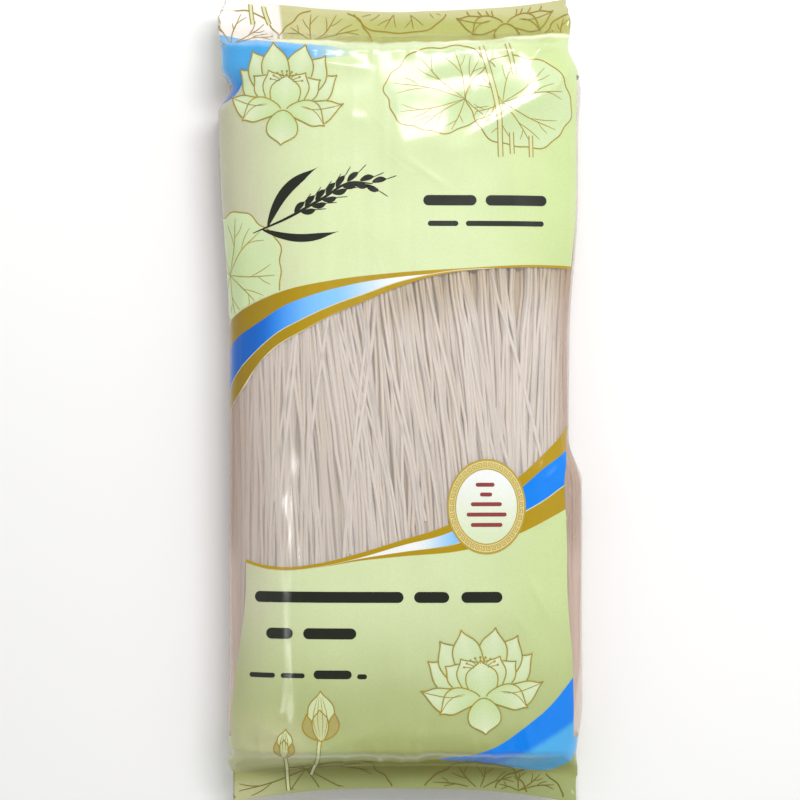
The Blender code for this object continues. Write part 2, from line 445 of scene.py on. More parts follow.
def column_places():
    """Zone number and place within the zone of each column of the film grid."""
    zone = np.concatenate([np.full(count, k) for k, count in enumerate(ZONE_COLUMNS)] + [[len(ZONES) - 1]])
    share = np.concatenate([np.arange(count) / count for count in ZONE_COLUMNS] + [[1.0]])
    return zone, share


def ring_places(zone, share, y):
    """Ring places of the columns at stations y, with the print's edges on zone borders."""
    (back_left, _, _, back_right), _ = SKIN.girth(y)
    borders = [
        np.full_like(y, -2.0),
        -2.0 + BACK_PANEL / back_left,
        SKIN.from_flat(left_print_edge(y), y),
        SKIN.from_flat(right_print_edge(y), y),
        2.0 - BACK_PANEL / back_right,
        np.full_like(y, 2.0),
    ]
    borders = np.stack(borders)
    columns = np.arange(y.shape[1])[None, :]
    rows = np.arange(y.shape[0])[:, None]
    start = borders[zone[None, :], rows, columns]
    end = borders[zone[None, :] + 1, rows, columns]
    return start + (end - start) * share[None, :]


def border_line(points, back, zone, share, y):
    """Station, at each column, of a print edge that curves over the face and is level behind."""
    s = ring_places(zone, share, y)
    u = SKIN.to_flat(s, y)
    face = through(points, u / MM) * MM
    left_end = through(points, left_print_edge(y) / MM) * MM
    right_end = through(points, right_print_edge(y) / MM) * MM
    left = back + (left_end - back) * share
    right = right_end + (back - right_end) * share
    return np.select([zone == 2, zone == 1, zone == 3], [face, left, right], back)


def film_lines():
    """Ring place and station of every vertex of the film grid, and the zone of each column."""
    zone, share = column_places()
    flat = np.ones((1, len(zone)))
    foot, head = BACK_WINDOW
    lower, upper = flat * foot, flat * head
    for _ in range(8):
        lower = border_line(WINDOW_FOOT, foot, zone, share, lower)
        upper = border_line(WINDOW_TOP, head, zone, share, upper)
    levels = (-HALF_LENGTH, -SEAL_START, STRIP_LOW, lower, upper, STRIP_HIGH, SEAL_START, HALF_LENGTH)
    rows = []
    for (_, count), low, high in zip(ROWS, levels, levels[1:]):
        rows += [flat * (low + (high - low) * k / count) for k in range(count)]
    rows.append(flat * HALF_LENGTH)
    y = np.concatenate(rows)
    return ring_places(zone, share, y), y, zone


def printed(name, zone):
    """True where a band of rows is printed in a zone of columns."""
    if name == "window":
        return False
    return name not in ("lower", "upper") or ZONES[zone] in ("face", "back_left", "back_right")


# ------------------------------------------------------------------ small building helpers
def new_object(name, mesh):
    obj = bpy.data.objects.new(name, mesh)
    bpy.context.scene.collection.objects.link(obj)
    return obj


def finish_piece(name, mesh, materials, replaces_node=False):
    """Give a finished mesh its materials and hand it to the frame as a piece."""
    for material in materials:
        mesh.materials.append(material)
    mesh.shade_smooth()
    obj = new_object(name, mesh)
    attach(obj, BODY)
    if replaces_node:
        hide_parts(NODE)


def lay_flat(mesh, places):
    """Give a mesh the flat film's millimetres as its UV map."""
    mesh.uv_layers.new(name="flat_film").data.foreach_set("uv", places.reshape(-1))


def grid_quads(number):
    """Corners of every quad of a grid of vertex numbers."""
    return np.stack((number[:-1, :-1], number[:-1, 1:], number[1:, 1:], number[1:, :-1]), -1).reshape(-1, 4)


@contextmanager
def edited(mesh):
    """A mesh as a BMesh, written back when the edit is over."""
    bm = bmesh.new()
    bm.from_mesh(mesh)
    yield bm
    bm.to_mesh(mesh)
    bm.free()


class Graph:
    """Adds nodes to a tree and links them, so that a material reads as a short recipe."""

    def __init__(self, tree):
        self.tree = tree

    def add(self, kind, inputs=(), **settings):
        node = self.tree.nodes.new(kind)
        for name, value in settings.items():
            setattr(node, name, value)
        self.feed(node, inputs)
        return node

    def feed(self, node, inputs):
        """Link or set inputs of a node."""
        for key, value in dict(inputs).items():
            if isinstance(value, bpy.types.NodeSocket):
                self.tree.links.new(value, node.inputs[key])
            else:
                node.inputs[key].default_value = value

    def math(self, operation, *values, clamp=False):
        return self.add("ShaderNodeMath", enumerate(values), operation=operation, use_clamp=clamp).outputs[0]

    def less(self, first, second):
        return self.math("SUBTRACT", first, second)

    def scaled(self, value, factor, added, clamp=False):
        return self.math("MULTIPLY_ADD", value, factor, added, clamp=clamp)

    def times(self, product, *values):
        for value in values:
            product = self.math("MULTIPLY", product, value)
        return product

    def mix(self, factor, first, second, blend="MIX"):
        inputs = {0: factor, 6: first, 7: second}
        return self.add("ShaderNodeMix", inputs, data_type="RGBA", blend_type=blend).outputs[2]

    def layers(self, colour, *layers):
        """A colour with others laid over it, each as (mask, colour)."""
        for mask, over in layers:
            colour = self.mix(mask, colour, over)
        return colour

    def grey(self, value):
        return self.add("ShaderNodeCombineXYZ", {k: value for k in range(3)}).outputs[0]

    def blend(self, value, low, high, first=0.0, second=1.0):
        """Value carried smoothly from first at low to second at high."""
        inputs = enumerate((value, low, high, first, second))
        return self.add("ShaderNodeMapRange", inputs, interpolation_type="SMOOTHSTEP").outputs[0]

    def noise(self, vector, scale, detail=2.0, roughness=0.5):
        inputs = {"Vector": vector, "Scale": scale, "Detail": detail, "Roughness": roughness}
        return self.add("ShaderNodeTexNoise", inputs).outputs["Fac"]

    def place(self):
        """Place of the shaded point on its own object, in metres."""
        return self.add("ShaderNodeTexCoord").outputs["Object"]

    def streaks(self, stretch, scale, roughness=0.6):
        """Noise drawn out along the bag."""
        drawn = self.add("ShaderNodeMapping", {"Vector": self.place(), "Scale": (1.0, stretch, 1.0)})
        return self.noise(drawn.outputs[0], scale, 3.0, roughness)

    def tone(self):
        return self.add("ShaderNodeAttribute", attribute_name="tone").outputs["Fac"]

    def bump(self, height, strength, distance):
        inputs = {"Height": height, "Strength": strength, "Distance": distance}
        return self.add("ShaderNodeBump", inputs).outputs[0]


class FilmGraph(Graph):
    """Graph with the place on the flat film, in millimetres: u across it and v along it."""

    REACH = 70.0           # u runs from -REACH to REACH in the curves
    STOPS = 26
    SOFT = 8.0             # slope of the edges between colours, for each millimetre

    def __init__(self, tree):
        super().__init__(tree)
        self.flat = self.add("ShaderNodeUVMap", uv_map="flat_film").outputs[0]
        self.u, self.v, _ = self.add("ShaderNodeSeparateXYZ", {0: self.flat}).outputs

    def across(self, low, high, first=0.0, second=1.0):
        return self.blend(self.u, low, high, first, second)

    def along(self, low, high, first=0.0, second=1.0):
        return self.blend(self.v, low, high, first, second)

    def above(self, points, soft=SOFT):
        """1 above the smooth curve through points, 0 below it, with a soft edge."""
        curve = self.add("ShaderNodeFloatCurve")
        line = curve.mapping.curves[0]
        levels = [point[1] for point in points]
        base, span = min(levels) - 2.0, max(levels) - min(levels) + 4.0
        whole = 2 * self.REACH
        while len(line.points) < self.STOPS:
            line.points.new(0.5, 0.5)
        for stop, x in zip(line.points, np.linspace(points[0][0], points[-1][0], self.STOPS)):
            stop.location = ((x + self.REACH) / whole, (float(through(points, x)) - base) / span)
        curve.mapping.update()
        self.feed(curve, {"Value": self.scaled(self.u, 1 / whole, self.REACH / whole)})
        height = self.scaled(curve.outputs[0], span, base)
        return self.scaled(self.less(self.v, height), soft, 0.5, clamp=True)

    def below(self, points, soft=SOFT):
        return self.less(1.0, self.above(points, soft))

    def between(self, foot, top):
        return self.times(self.below(top), self.above(foot))

    def rim(self, points, drop):
        """Thin line that hangs below a curve by drop millimetres."""
        return self.less(self.above(raised(points, -drop)), self.above(points))

    def front(self, reach, soft):
        """1 on the face, 0 beyond reach millimetres to either side."""
        return self.blend(self.math("ABSOLUTE", self.u), reach, reach + soft, 1.0, 0.0)


def raised(points, rise):
    """The same curve, higher by rise millimetres."""
    return tuple((x, y + rise) for x, y in points)


def start_material(name, kind=Graph):
    """New material with only its Principled BSDF, and a graph to build it with."""
    material = bpy.data.materials.new(name)
    material.use_nodes = True
    return material, kind(material.node_tree), material.node_tree.nodes["Principled BSDF"]


def new_sockets(tree, way, sockets):
    """Give a node group named sockets, each as (kind, default value)."""
    for label, (kind, default) in sockets.items():
        socket = tree.interface.new_socket(label, in_out=way, socket_type="NodeSocket" + kind)
        if default is not None:
            socket.default_value = default


def film_wear_group():
    """Micro-creases, print speckle and handling haze that all printed film shares."""
    if "film_wear" in bpy.data.node_groups:
        return bpy.data.node_groups["film_wear"]
    tree = bpy.data.node_groups.new("film_wear", "ShaderNodeTree")
    new_sockets(tree, "INPUT", {
        "Speckle scale": ("Float", 1500.0), "Speckle": ("Float", 0.16), "Cloud scale": ("Float", 55.0),
        "Cloud": ("Float", 0.10), "Crinkle scale": ("Float", 90.0), "Gloss": ("Float", 0.30),
    })
    new_sockets(tree, "OUTPUT", dict.fromkeys(("Tone", "Height", "Roughness"), ("Float", None)))
    graph = Graph(tree)
    given = graph.add("NodeGroupInput").outputs
    place = graph.place()
    fine = graph.noise(place, given["Speckle scale"], 3.0, 0.6)
    cloud = graph.noise(place, given["Cloud scale"], 3.0, 0.55)
    speckle = graph.scaled(graph.less(fine, 0.5), given["Speckle"], 1.0)
    inputs = {"Vector": place, "Scale": given["Crinkle scale"]}
    cracks = graph.add("ShaderNodeTexVoronoi", inputs, feature="DISTANCE_TO_EDGE").outputs["Distance"]
    patches = graph.blend(graph.noise(place, 38.0), 0.5, 0.68)
    creased = graph.times(graph.blend(cracks, 0.0, 0.12, 1.0, 0.0), patches)
    graph.add("NodeGroupOutput", {
        "Tone": graph.scaled(graph.less(cloud, 0.5), given["Cloud"], speckle),
        "Height": graph.scaled(creased, 0.7, graph.times(cloud, 0.6)),
        "Roughness": graph.scaled(cloud, 0.16, given["Gloss"]),
    })
    return tree


# ------------------------------------------------------------------ settings
def colour_setting(name, description, *rgb):
    return FloatVectorProperty(
        name=name, description=description, subtype="COLOR", size=4, min=0, max=1, default=(*rgb, 1.0)
    )


def length_setting(name, description, default):
    return FloatProperty(name=name, description=description, default=default, unit="LENGTH", precision=5)


class FilmSettings(bpy.types.PropertyGroup):
    fin_width: length_setting("Fin width", "Width of the back seal's folded flap", 0.012)
    fin_thickness: length_setting("Fin thickness", "Thickness of the back seal's folded flap", 0.00035)
    clearness: FloatProperty(
        name="Haze", description="Opacity of the clear film", subtype="FACTOR", min=0, max=1, default=0.29
    )
    clear_tint: colour_setting("Clear tint", "Haze of the clear film", 0.87, 0.79, 0.735)
    # Painted shade and warm reflection: the clear sides are tinted pinkish brown for the shaded strands and
    # the warm light on them, paler beside the lower print.
    side_shade_tint: colour_setting("Side tint", "Pinkish haze of the clear film at the sides", 0.60, 0.42, 0.33)
    side_pale: colour_setting("Pale side", "Haze of the sides beside the lower print", 0.86, 0.66, 0.55)


class PrintSettings(bpy.types.PropertyGroup):
    field_light: colour_setting("Light field", "Pale green in the middle of the panels", 0.665, 0.765, 0.435)
    field_right: colour_setting("Right field", "Fresher green towards the right side", 0.585, 0.705, 0.325)
    # Painted shade: the field is greyer towards the left side, which faces away from the light.
    field_left_shade: colour_setting("Left field", "Greyer green towards the left side", 0.50, 0.48, 0.345)
    field_foot: colour_setting("Foot field", "Deeper green above the foot", 0.40, 0.455, 0.18)
    # Painted shade: the head seal's olive is partly print and partly the shade of the end, which slopes away
    # from the light.
    olive_head_shade: colour_setting("Head olive", "Olive of the head seal", 0.44, 0.45, 0.125)
    # Painted shadow: the foot seal's dark olive is the shadow that the bag's end casts on it, partly print.
    olive_foot_shade: colour_setting("Foot olive", "Dark olive of the foot seal", 0.225, 0.225, 0.015)
    # Painted light: paler where the seals' strips and the puckered film at the foot's left face the light.
    pale_light: colour_setting("Seal edge", "Paler tone along the seals' cut edges", 0.66, 0.61, 0.39)
    # Painted glare on the head seal's turned-up left corner.
    corner: colour_setting("Corner", "Pinkish white of the head seal's left corner", 0.88, 0.82, 0.77)
    # Painted highlight along the head's sharp fold.
    crest_highlight: colour_setting("Crest", "Whitened film along the head's sharp fold", 0.86, 0.88, 0.60)
    inside: colour_setting("Film inside", "White backing behind the print", 0.80, 0.79, 0.72)
    # Painted shade: the bands' gold is darker at the left side, away from the light.
    gold_shade: colour_setting("Deep gold", "Gold of the bands at the left side", 0.30, 0.19, 0.001)
    gold: colour_setting("Gold", "Gold of the bands", 0.44, 0.285, 0.004)
    gold_pale: colour_setting("Pale gold", "Pale gold of the roundel", 0.74, 0.63, 0.26)
    bud: colour_setting("Bud gold", "Olive gold of the buds", 0.42, 0.345, 0.09)
    line: colour_setting("Line gold", "Olive gold of the line drawing", 0.33, 0.26, 0.05)
    line_head: colour_setting("Head line", "Gold brown of the lines on the head seal", 0.33, 0.235, 0.025)
    # Painted shade: the lines are darker on the shaded foot seal.
    line_foot_shade: colour_setting("Foot line", "Olive brown of the lines on the foot seal", 0.20, 0.165, 0.015)
    edge_line: colour_setting("Edge line", "Thin pale line between the bands", 0.86, 0.83, 0.62)
    blue_deep: colour_setting("Deep blue", "Blue at the deep end of the bands", 0.0, 0.225, 0.86)
    blue_shade: colour_setting("Shaded blue", "Blue of the upper band at the left side", 0.0, 0.11, 0.50)
    blue_mid: colour_setting("Middle blue", "Paler blue of the corners", 0.075, 0.43, 0.83)
    blue_light: colour_setting("Light blue", "Blue at the pale end of the bands", 0.22, 0.55, 0.93)
    white: colour_setting("White", "White of the bands' tips and the roundel", 0.88, 0.90, 0.88)
    petal_deep: colour_setting("Petal root", "Green of the petals' roots and the leaves", 0.52, 0.665, 0.31)
    petal_pale: colour_setting("Petal tip", "Pale green of the petals' tips", 0.70, 0.79, 0.52)
    roundel_gold: colour_setting("Roundel gold", "Gold of the roundel's rims and keys", 0.47, 0.34, 0.06)
    ink: colour_setting("Ink", "Near-black of the printed bars", 0.014, 0.018, 0.010)
    maroon: colour_setting("Maroon", "Dark red of the roundel's bars", 0.28, 0.05, 0.05)


class NoodleSettings(bpy.types.PropertyGroup):
    diameter: length_setting("Strand diameter", "Thickness of one dried strand", 0.00122)
    pitch: length_setting("Strand spacing", "Distance between neighbouring strands of a layer", 0.00112)
    cover: length_setting("Film gap", "Distance from the film to the outermost strands' centres", 0.00120)
    layer_step: length_setting("Layer depth", "Distance between the layers of strands", 0.00082)
    half_length: length_setting("Half length", "Half the length of the bundle", 0.1125)
    wobble: length_setting("Wobble", "Small unevenness of each strand", 0.00035)
    sides: IntProperty(name="Sides", description="Sides of each strand's section", min=3, max=16, default=6)
    seed: IntProperty(name="Seed", description="Seed of the random laying of the strands", default=17)
    colour: colour_setting("Strand colour", "Colour of the dried rice strands", 0.80, 0.72, 0.65)
    # The warm colour serves both random tone and painted shade of deeper strands and of strands under the
    # print's edge.
    colour_warm: colour_setting("Warm strand", "Colour of the darker strands", 0.50, 0.385, 0.23)
    # Painted shade and reflection: strands at the sides are pinkish brown.
    colour_side_shade: colour_setting("Side strand", "Pinkish brown of strands at the sides", 0.38, 0.235, 0.145)
    # Painted shade: the core is darker and browner for the shade deep between the strands.
    colour_core_shade: colour_setting("Core colour", "Colour deep in the bundle", 0.45, 0.325, 0.175)


class StageSettings(bpy.types.PropertyGroup):
    floor: colour_setting("Floor", "Colour of the floor", 0.97, 0.97, 0.965)
    camera_height: length_setting("Camera height", "Height of the camera above the floor", 0.800)
    room_light: FloatProperty(name="Room light", description="Strength of the even light", default=0.59)
    key_light: FloatProperty(name="Key light", description="Power of the key light in watts", default=0.8)
    streak_light: FloatProperty(
        name="Streak light", description="Power of the narrow lights in watts", default=1.0
    )


# ------------------------------------------------------------------ materials
def field_colour(graph, colours):
    """Green field: fresher to the right, greyer to the left as painted shade and deeper to the foot, with
    painted shade above the foot ridge and a painted sheen on puckered film at the foot's left.
    """
    cloud = graph.scaled(graph.noise(graph.flat, 0.035), 0.36, -0.18)
    shifted = graph.scaled(cloud, 40.0, graph.u)
    low = graph.scaled(cloud, 30.0, graph.v)
    foot = graph.math("ADD", graph.along(-58.0, -112.0, 0.0, 0.9), cloud, clamp=True)
    # Painted shade: a darker olive patch above the foot ridge, right of the middle, where the film's folds
    # are in shade.
    shade = graph.times(graph.blend(low, -106.0, -117.0, 0.0, 0.42), graph.across(-26.0, -6.0))
    # Painted sheen: paler film above the foot at the left, where the puckered film catches the light.
    wear_and_sheen = graph.times(graph.blend(low, -98.0, -112.0, 0.0, 0.40), graph.across(-22.0, -40.0))
    colour = graph.layers(
        colours.field_light,
        # Painted shade: greyer towards the left side, away from the light.
        (graph.blend(shifted, 12.0, 60.0), colours.field_right),
        (graph.blend(shifted, -26.0, -62.0, 0.0, 0.9), colours.field_left_shade),
        (foot, colours.field_foot),
        (shade, colours.olive_foot_shade),
        (wear_and_sheen, colours.pale_light),
    )
    return head_seal_colour(graph, colours, foot_seal_colour(graph, colours, colour, cloud))


def head_seal_colour(graph, colours, ground):
    """Olive head seal, partly print and partly painted shade of the sloping end, with painted glare on its
    pinkish white left corner, painted light towards the cut edge and a painted highlight along the crest.
    """
    above = graph.above(HEAD_RIDGE, soft=1.1)
    # Painted light: the olive strip turns paler towards its cut edge and to the left.
    edge = graph.math("MAXIMUM", graph.along(126.0, 131.5, 0.0, 0.6), graph.across(-8.0, -34.0, 0.0, 0.5))
    # Painted highlight: a pale line just below the ridge fold, strong to the right, weaker to the left and
    # none in the middle.
    crest_highlight = graph.less(graph.above(raised(HEAD_RIDGE, -0.9), soft=1.2), above)
    bright = graph.math("MAXIMUM", graph.across(9.0, 16.0), graph.across(-12.0, -22.0, 0.0, 0.7))
    # Painted glare: the turned-up left corner of the strip is pinkish white.
    slant = graph.scaled(graph.v, 0.12, graph.u)
    corner = graph.times(above, graph.blend(slant, -25.6, -24.2, 1.0, 0.0), graph.across(-70.0, -68.0))
    return graph.layers(
        ground,
        # Painted shade: beyond the ridge the film is olive, partly print and partly the shade of the sloping
        # end.
        (graph.times(above, 0.92), graph.mix(edge, colours.olive_head_shade, colours.pale_light)),
        (graph.times(crest_highlight, bright), colours.crest_highlight),
        (corner, colours.corner),
    )


def foot_seal_colour(graph, colours, ground, cloud):
    """Foot seal, in painted shadow from the bag's end: darkest below the ridge, with painted light that makes
    it paler to the cut edge and at the left.
    """
    level = graph.scaled(cloud, 12.0, graph.v)
    pale = graph.times(graph.blend(level, -125.5, -130.5, 0.0, 0.5), graph.across(-30.0, -54.0))
    # Painted light: lighter towards the cut edge and to the right, and pale at the cut edge's left.
    olive = graph.layers(
        colours.olive_foot_shade,
        (graph.blend(level, -121.5, -131.0, 0.0, 0.8), colours.field_foot),
        (graph.across(34.0, 56.0, 0.0, 0.8), colours.field_foot),
        (pale, colours.pale_light),
    )
    below = graph.times(graph.below(FOOT_RIDGE, soft=0.45), graph.across(-56.0, -30.0, 0.6, 0.94))
    return graph.mix(below, ground, olive)


def upper_fields(graph, colours, ground):
    """Gold and blue bands above the window, and the blue corner at the head's left, with painted shade at the
    left side and at the tuck below the corner.
    """
    # Painted shade: the blue band is darker at the left side.
    blue = graph.layers(
        colours.blue_shade,
        (graph.across(-50.0, -36.0), colours.blue_deep),
        (graph.across(-46.0, -24.0), colours.blue_light),
        (graph.across(-24.0, 2.0), colours.white),
    )
    swoosh = graph.layers(
        colours.blue_mid,
        (graph.blend(graph.scaled(graph.u, 0.10, graph.v), 111.2, 112.6), colours.blue_light),
        (graph.across(-46.0, -24.0, 0.0, 0.8), colours.blue_light),
        # Painted shade at the tuck below the corner swoosh.
        (graph.along(110.0, 100.0, 0.15, 0.9), colours.blue_shade),
    )
    in_corner = graph.between(CORNER_SWOOSH_FOOT, CORNER_SWOOSH_TOP)
    at_window = graph.times(graph.below(raised(WINDOW_TOP, 0.42)), graph.across(-46.0, -14.0, 0.7, 0.0))
    return graph.layers(
        ground,
        # Painted shade: the gold is darker at the left side.
        (graph.below(UPPER_GOLD_TOP), graph.mix(graph.across(-56.0, -24.0), colours.gold_shade, colours.gold)),
        (graph.between(UPPER_BLUE_FOOT, UPPER_BLUE_TOP), blue),
        (graph.times(graph.rim(UPPER_BLUE_FOOT, 0.28), 0.7), colours.edge_line),
        (at_window, colours.edge_line),
        (graph.times(in_corner, graph.across(-34.0, -12.0, 1.0, 0.0), graph.front(70.0, 2.0)), swoosh),
    )


def lower_fields(graph, colours, ground):
    """Gold and blue bands below the window, and the blue corner at the foot's right, whose blue is painted
    darker towards its left end as shade.
    """
    face = graph.front(66.0, 0.5)
    blue = graph.layers(
        colours.white,
        (graph.across(4.0, 20.0), colours.blue_light),
        (graph.across(26.0, 38.0), colours.blue_deep),
    )
    depth = graph.scaled(graph.u, 0.533, graph.times(graph.v, -1.0))
    # Painted shade: the corner's pale blue is shaded towards its left end.
    pale = graph.mix(graph.across(14.0, 42.0), colours.blue_shade, colours.blue_mid)
    swoosh = graph.mix(graph.blend(depth, 136.5, 139.5), colours.blue_deep, pale)
    ahead = graph.times(graph.across(12.0, 15.0), graph.across(70.0, 72.0, 1.0, 0.0))
    rim = graph.times(graph.rim(LOWER_BLUE_FOOT, 0.32), graph.across(10.0, 24.0, 0.0, 0.8))
    return graph.layers(
        ground,
        (graph.times(graph.above(LOWER_GOLD_FOOT), face), colours.gold),
        (graph.times(graph.between(LOWER_BLUE_FOOT, LOWER_BLUE_TOP), face), blue),
        (rim, colours.edge_line),
        (graph.times(graph.between(FOOT_SWOOSH_FOOT, FOOT_SWOOSH_TOP), ahead), swoosh),
    )


def plain_fields(graph, colours, ground):
    return ground


def finish_print(graph, shader, colour):
    """Give a printed colour the film's shared wear, and its gloss."""
    wear_and_sheen = graph.add("ShaderNodeGroup", node_tree=film_wear_group()).outputs
    graph.feed(shader, {
        "Base Color": graph.mix(1.0, colour, graph.grey(wear_and_sheen["Tone"]), "MULTIPLY"),
        "Roughness": wear_and_sheen["Roughness"],
        "Normal": graph.bump(wear_and_sheen["Height"], 0.16, 0.0004),
        "Coat Weight": 0.7,
        "Coat Roughness": 0.12,
        "Specular IOR Level": 0.14,
    })


def print_material(name, colours, lay_fields):
    """Glossy printed film, its colour fields laid over the green by lay_fields."""
    material, graph, shader = start_material(name, FilmGraph)
    colour = lay_fields(graph, colours, field_colour(graph, colours))
    behind = graph.add("ShaderNodeNewGeometry").outputs["Backfacing"]
    finish_print(graph, shader, graph.mix(behind, colour, colours.inside))
    return material


def ink_material(name, colour, tip=None):
    """Dense ink of one colour, or one that turns to the colour tip as the drawing's tone rises."""
    material, graph, shader = start_material(name)
    finish_print(graph, shader, colour if tip is None else graph.mix(graph.tone(), colour, tip))
    return material


def line_material(colours):
    """Gold-olive ink of the line drawing, darker over the olive seals as painted shade."""
    material, graph, shader = start_material("line_ink", FilmGraph)
    colour = graph.layers(
        colours.line,
        (graph.blend(graph.noise(graph.place(), 240.0), 0.35, 0.7), colours.gold),
        (graph.along(116.0, 121.0), colours.line_head),
        (graph.along(-116.0, -121.0), colours.line_foot_shade),
    )
    finish_print(graph, shader, colour)
    return material


def flower_materials(colours):
    """Inks of the plants: lines, petals and leaves, and buds and stems."""
    petals = ink_material("petal_ink", colours.petal_deep, colours.petal_pale)
    return [line_material(colours), petals, ink_material("bud_ink", colours.bud, colours.field_light)]


def clear_film_material(settings):
    """Clear glossy film: haze in soft streaks, thicker at the sides, and sharp reflections; the sides' tint
    is painted shade and warm reflection, thinner haze under the print's edge is painted shade and more haze
    to the left is painted glare.
    """
    material, graph, shader = start_material("clear_film", FilmGraph)
    beside = graph.blend(graph.math("ABSOLUTE", graph.math("ADD", graph.u, 1.0)), 51.0, 58.0)
    # Painted shade: thinner haze just under the print, where the print shades the strands.
    near_print = graph.times(graph.above(raised(WINDOW_TOP, -8.0), soft=0.1), graph.across(-20.0, 16.0))
    haze = graph.scaled(graph.less(graph.streaks(0.16, 85.0), 0.5), 0.44, settings.clearness)
    haze = graph.scaled(near_print, -0.12, haze)
    # Painted glare: more haze towards the left.
    haze = graph.math("ADD", haze, graph.across(2.0, -30.0, 0.0, 0.07))
    # Painted shade and warm reflection tint the clear sides.
    side = graph.mix(graph.along(-40.0, -58.0), settings.side_shade_tint, settings.side_pale)
    graph.feed(shader, {
        "Base Color": graph.mix(beside, settings.clear_tint, side),
        "Alpha": graph.scaled(beside, 0.16, haze, clamp=True),
        "Roughness": 0.11,
        "IOR": 1.9,
        "Specular IOR Level": 0.8,
        "Normal": graph.bump(graph.streaks(0.25, 160.0, 0.5), 0.12, 0.0004),
    })
    return material


def strand_material(settings):
    """Dried rice strand: satin, slightly see-through, each one a little lighter or warmer, with painted shade
    carried in its tone and painted shade and warm reflection towards the sides.
    """
    material, graph, shader = start_material("rice_strand")
    place = graph.place()
    streak = graph.streaks(0.06, 900.0)
    patch = graph.scaled(graph.noise(place, 70.0), 0.35, -0.35)
    warm = graph.math("ADD", graph.times(streak, 0.35), patch)
    # The tone carries painted shade of the deeper layers and of strands under the print's edge, besides
    # random kinship.
    warm = graph.math("ADD", warm, graph.times(graph.tone(), 0.55), clamp=True)
    # Painted shade and warm reflection: strands towards the sides turn pinkish brown.
    across = graph.add("ShaderNodeSeparateXYZ", {0: place}).outputs[0]
    left, right = graph.blend(across, -0.036, -0.055, 0.0, 0.85), graph.blend(across, 0.050, 0.059, 0.0, 0.6)
    beside = graph.math("MAXIMUM", left, right)
    colour = graph.layers(settings.colour, (warm, settings.colour_warm), (beside, settings.colour_side_shade))
    graph.feed(shader, {
        "Base Color": colour,
        "Roughness": graph.scaled(streak, 0.2, 0.36),
        "Subsurface Weight": 0.30,
        "Subsurface Radius": (1.0, 0.75, 0.5),
        "Subsurface Scale": 0.0012,
        "Specular IOR Level": 0.35,
        "Normal": graph.bump(streak, 0.25, 0.0002),
    })
    return material


def core_material(settings):
    """Inside of the bundle, seen only between strands: darker and browner, as painted shade."""
    material, graph, shader = start_material("bundle_core")
    streak = graph.streaks(0.03, 700.0)
    graph.feed(shader, {
        "Base Color": graph.mix(graph.blend(streak, 0.35, 0.65), settings.colour_core_shade, settings.colour_warm),
        "Roughness": graph.scaled(streak, 0.2, 0.5),
        "Normal": graph.bump(streak, 0.6, 0.0004),
    })
    return material


# ------------------------------------------------------------------ operators: the noodles
class NOODLEBAG_OT_core(bpy.types.Operator):
    """Make the ridged inside of the bundle, below the modelled strands"""

    bl_idname = "noodle_bag.core"
    bl_label = "Bundle core"

    COLUMNS = 640
    STEPS = 64

    def execute(self, context):
        settings = context.scene.noodle_bag_noodles
        reach = settings.half_length - 0.002
        y = np.linspace(-reach, reach, self.STEPS)[:, None] * np.ones((1, self.COLUMNS))
        s = np.linspace(-2.0, 2.0, self.COLUMNS, endpoint=False)[None, :] * np.ones((self.STEPS, 1))
        depth = settings.cover + 3.3 * settings.layer_step
        u = SKIN.to_flat(s, y)
        drift = 1.5 * lattice_noise(u / 0.03, y / 0.05 + 9, 21)
        ridge = np.abs(np.sin(np.pi * (u / settings.pitch + drift))) * 0.4 * settings.pitch
        hollow = 0.0012 * np.maximum(lattice_noise(u / 0.006, y / 0.045, 23), 0.0)
        points = SKIN.point(s, y) + SKIN.normal(s, y) * (ridge - depth - hollow)[..., None]
        mesh = bpy.data.meshes.new("bundle_core")
        with edited(mesh) as bm:
            loops = [[bm.verts.new(point) for point in ring] for ring in points.tolist()]
            for low, high in zip(loops, loops[1:]):
                for k in range(self.COLUMNS):
                    after = (k + 1) % self.COLUMNS
                    bm.faces.new((low[k], low[after], high[after], high[k]))
            bm.faces.new(loops[0][::-1])
            bm.faces.new(loops[-1])
            bmesh.ops.recalc_face_normals(bm, faces=bm.faces[:])
        finish_piece("bundle_core", mesh, [core_material(settings)])
        return {"FINISHED"}


CROSSING = 22          # loose strands that lie across the others
CLEFTS = 34            # small gaps between strands
# Least and most of each cleft's place across, place along, half length and spread, in metres.
CLEFT_LIMITS = ((-0.050, 0.050), (-0.050, 0.036), (0.007, 0.016), (0.0003, 0.0008))

# Places where the strands part towards the window's head: across, foot and spread, in metres.
SPLITS = ((0.0262, 0.0225, 0.0016), (0.0385, 0.0190, 0.0024), (-0.0115, 0.0210, 0.0007),
          (0.0060, 0.0260, 0.0008))


def lean(u):
    """How far strands at u lean sideways for each length upwards: clumps share a lean."""
    drift = 0.15 * bump(0.050, 0.018, u) - 0.15 * bump(-0.014, 0.050, u) - 0.13 * bump(0.022, 0.022, u)
    return drift + 0.07 * lattice_noise(u / 0.011 + 40, np.full_like(u, 0.5), 31)


def parted(across, along, clefts):
    """Places across of one strand's points, pushed aside where the bundle parts."""
    def push(at, place, spread, reach, profile):
        off = np.interp(at, along, across) - place
        return across + np.sign(off) * spread * math.exp(-abs(off) / reach) * profile

    for place, foot, spread in SPLITS:
        across = push(foot, place, spread, 0.006, ease(foot, foot + 0.018, along))
    for place, middle, half_length, spread in clefts:
        across = push(middle, place, spread, 0.0022, bump(middle, half_length, along))
    return across


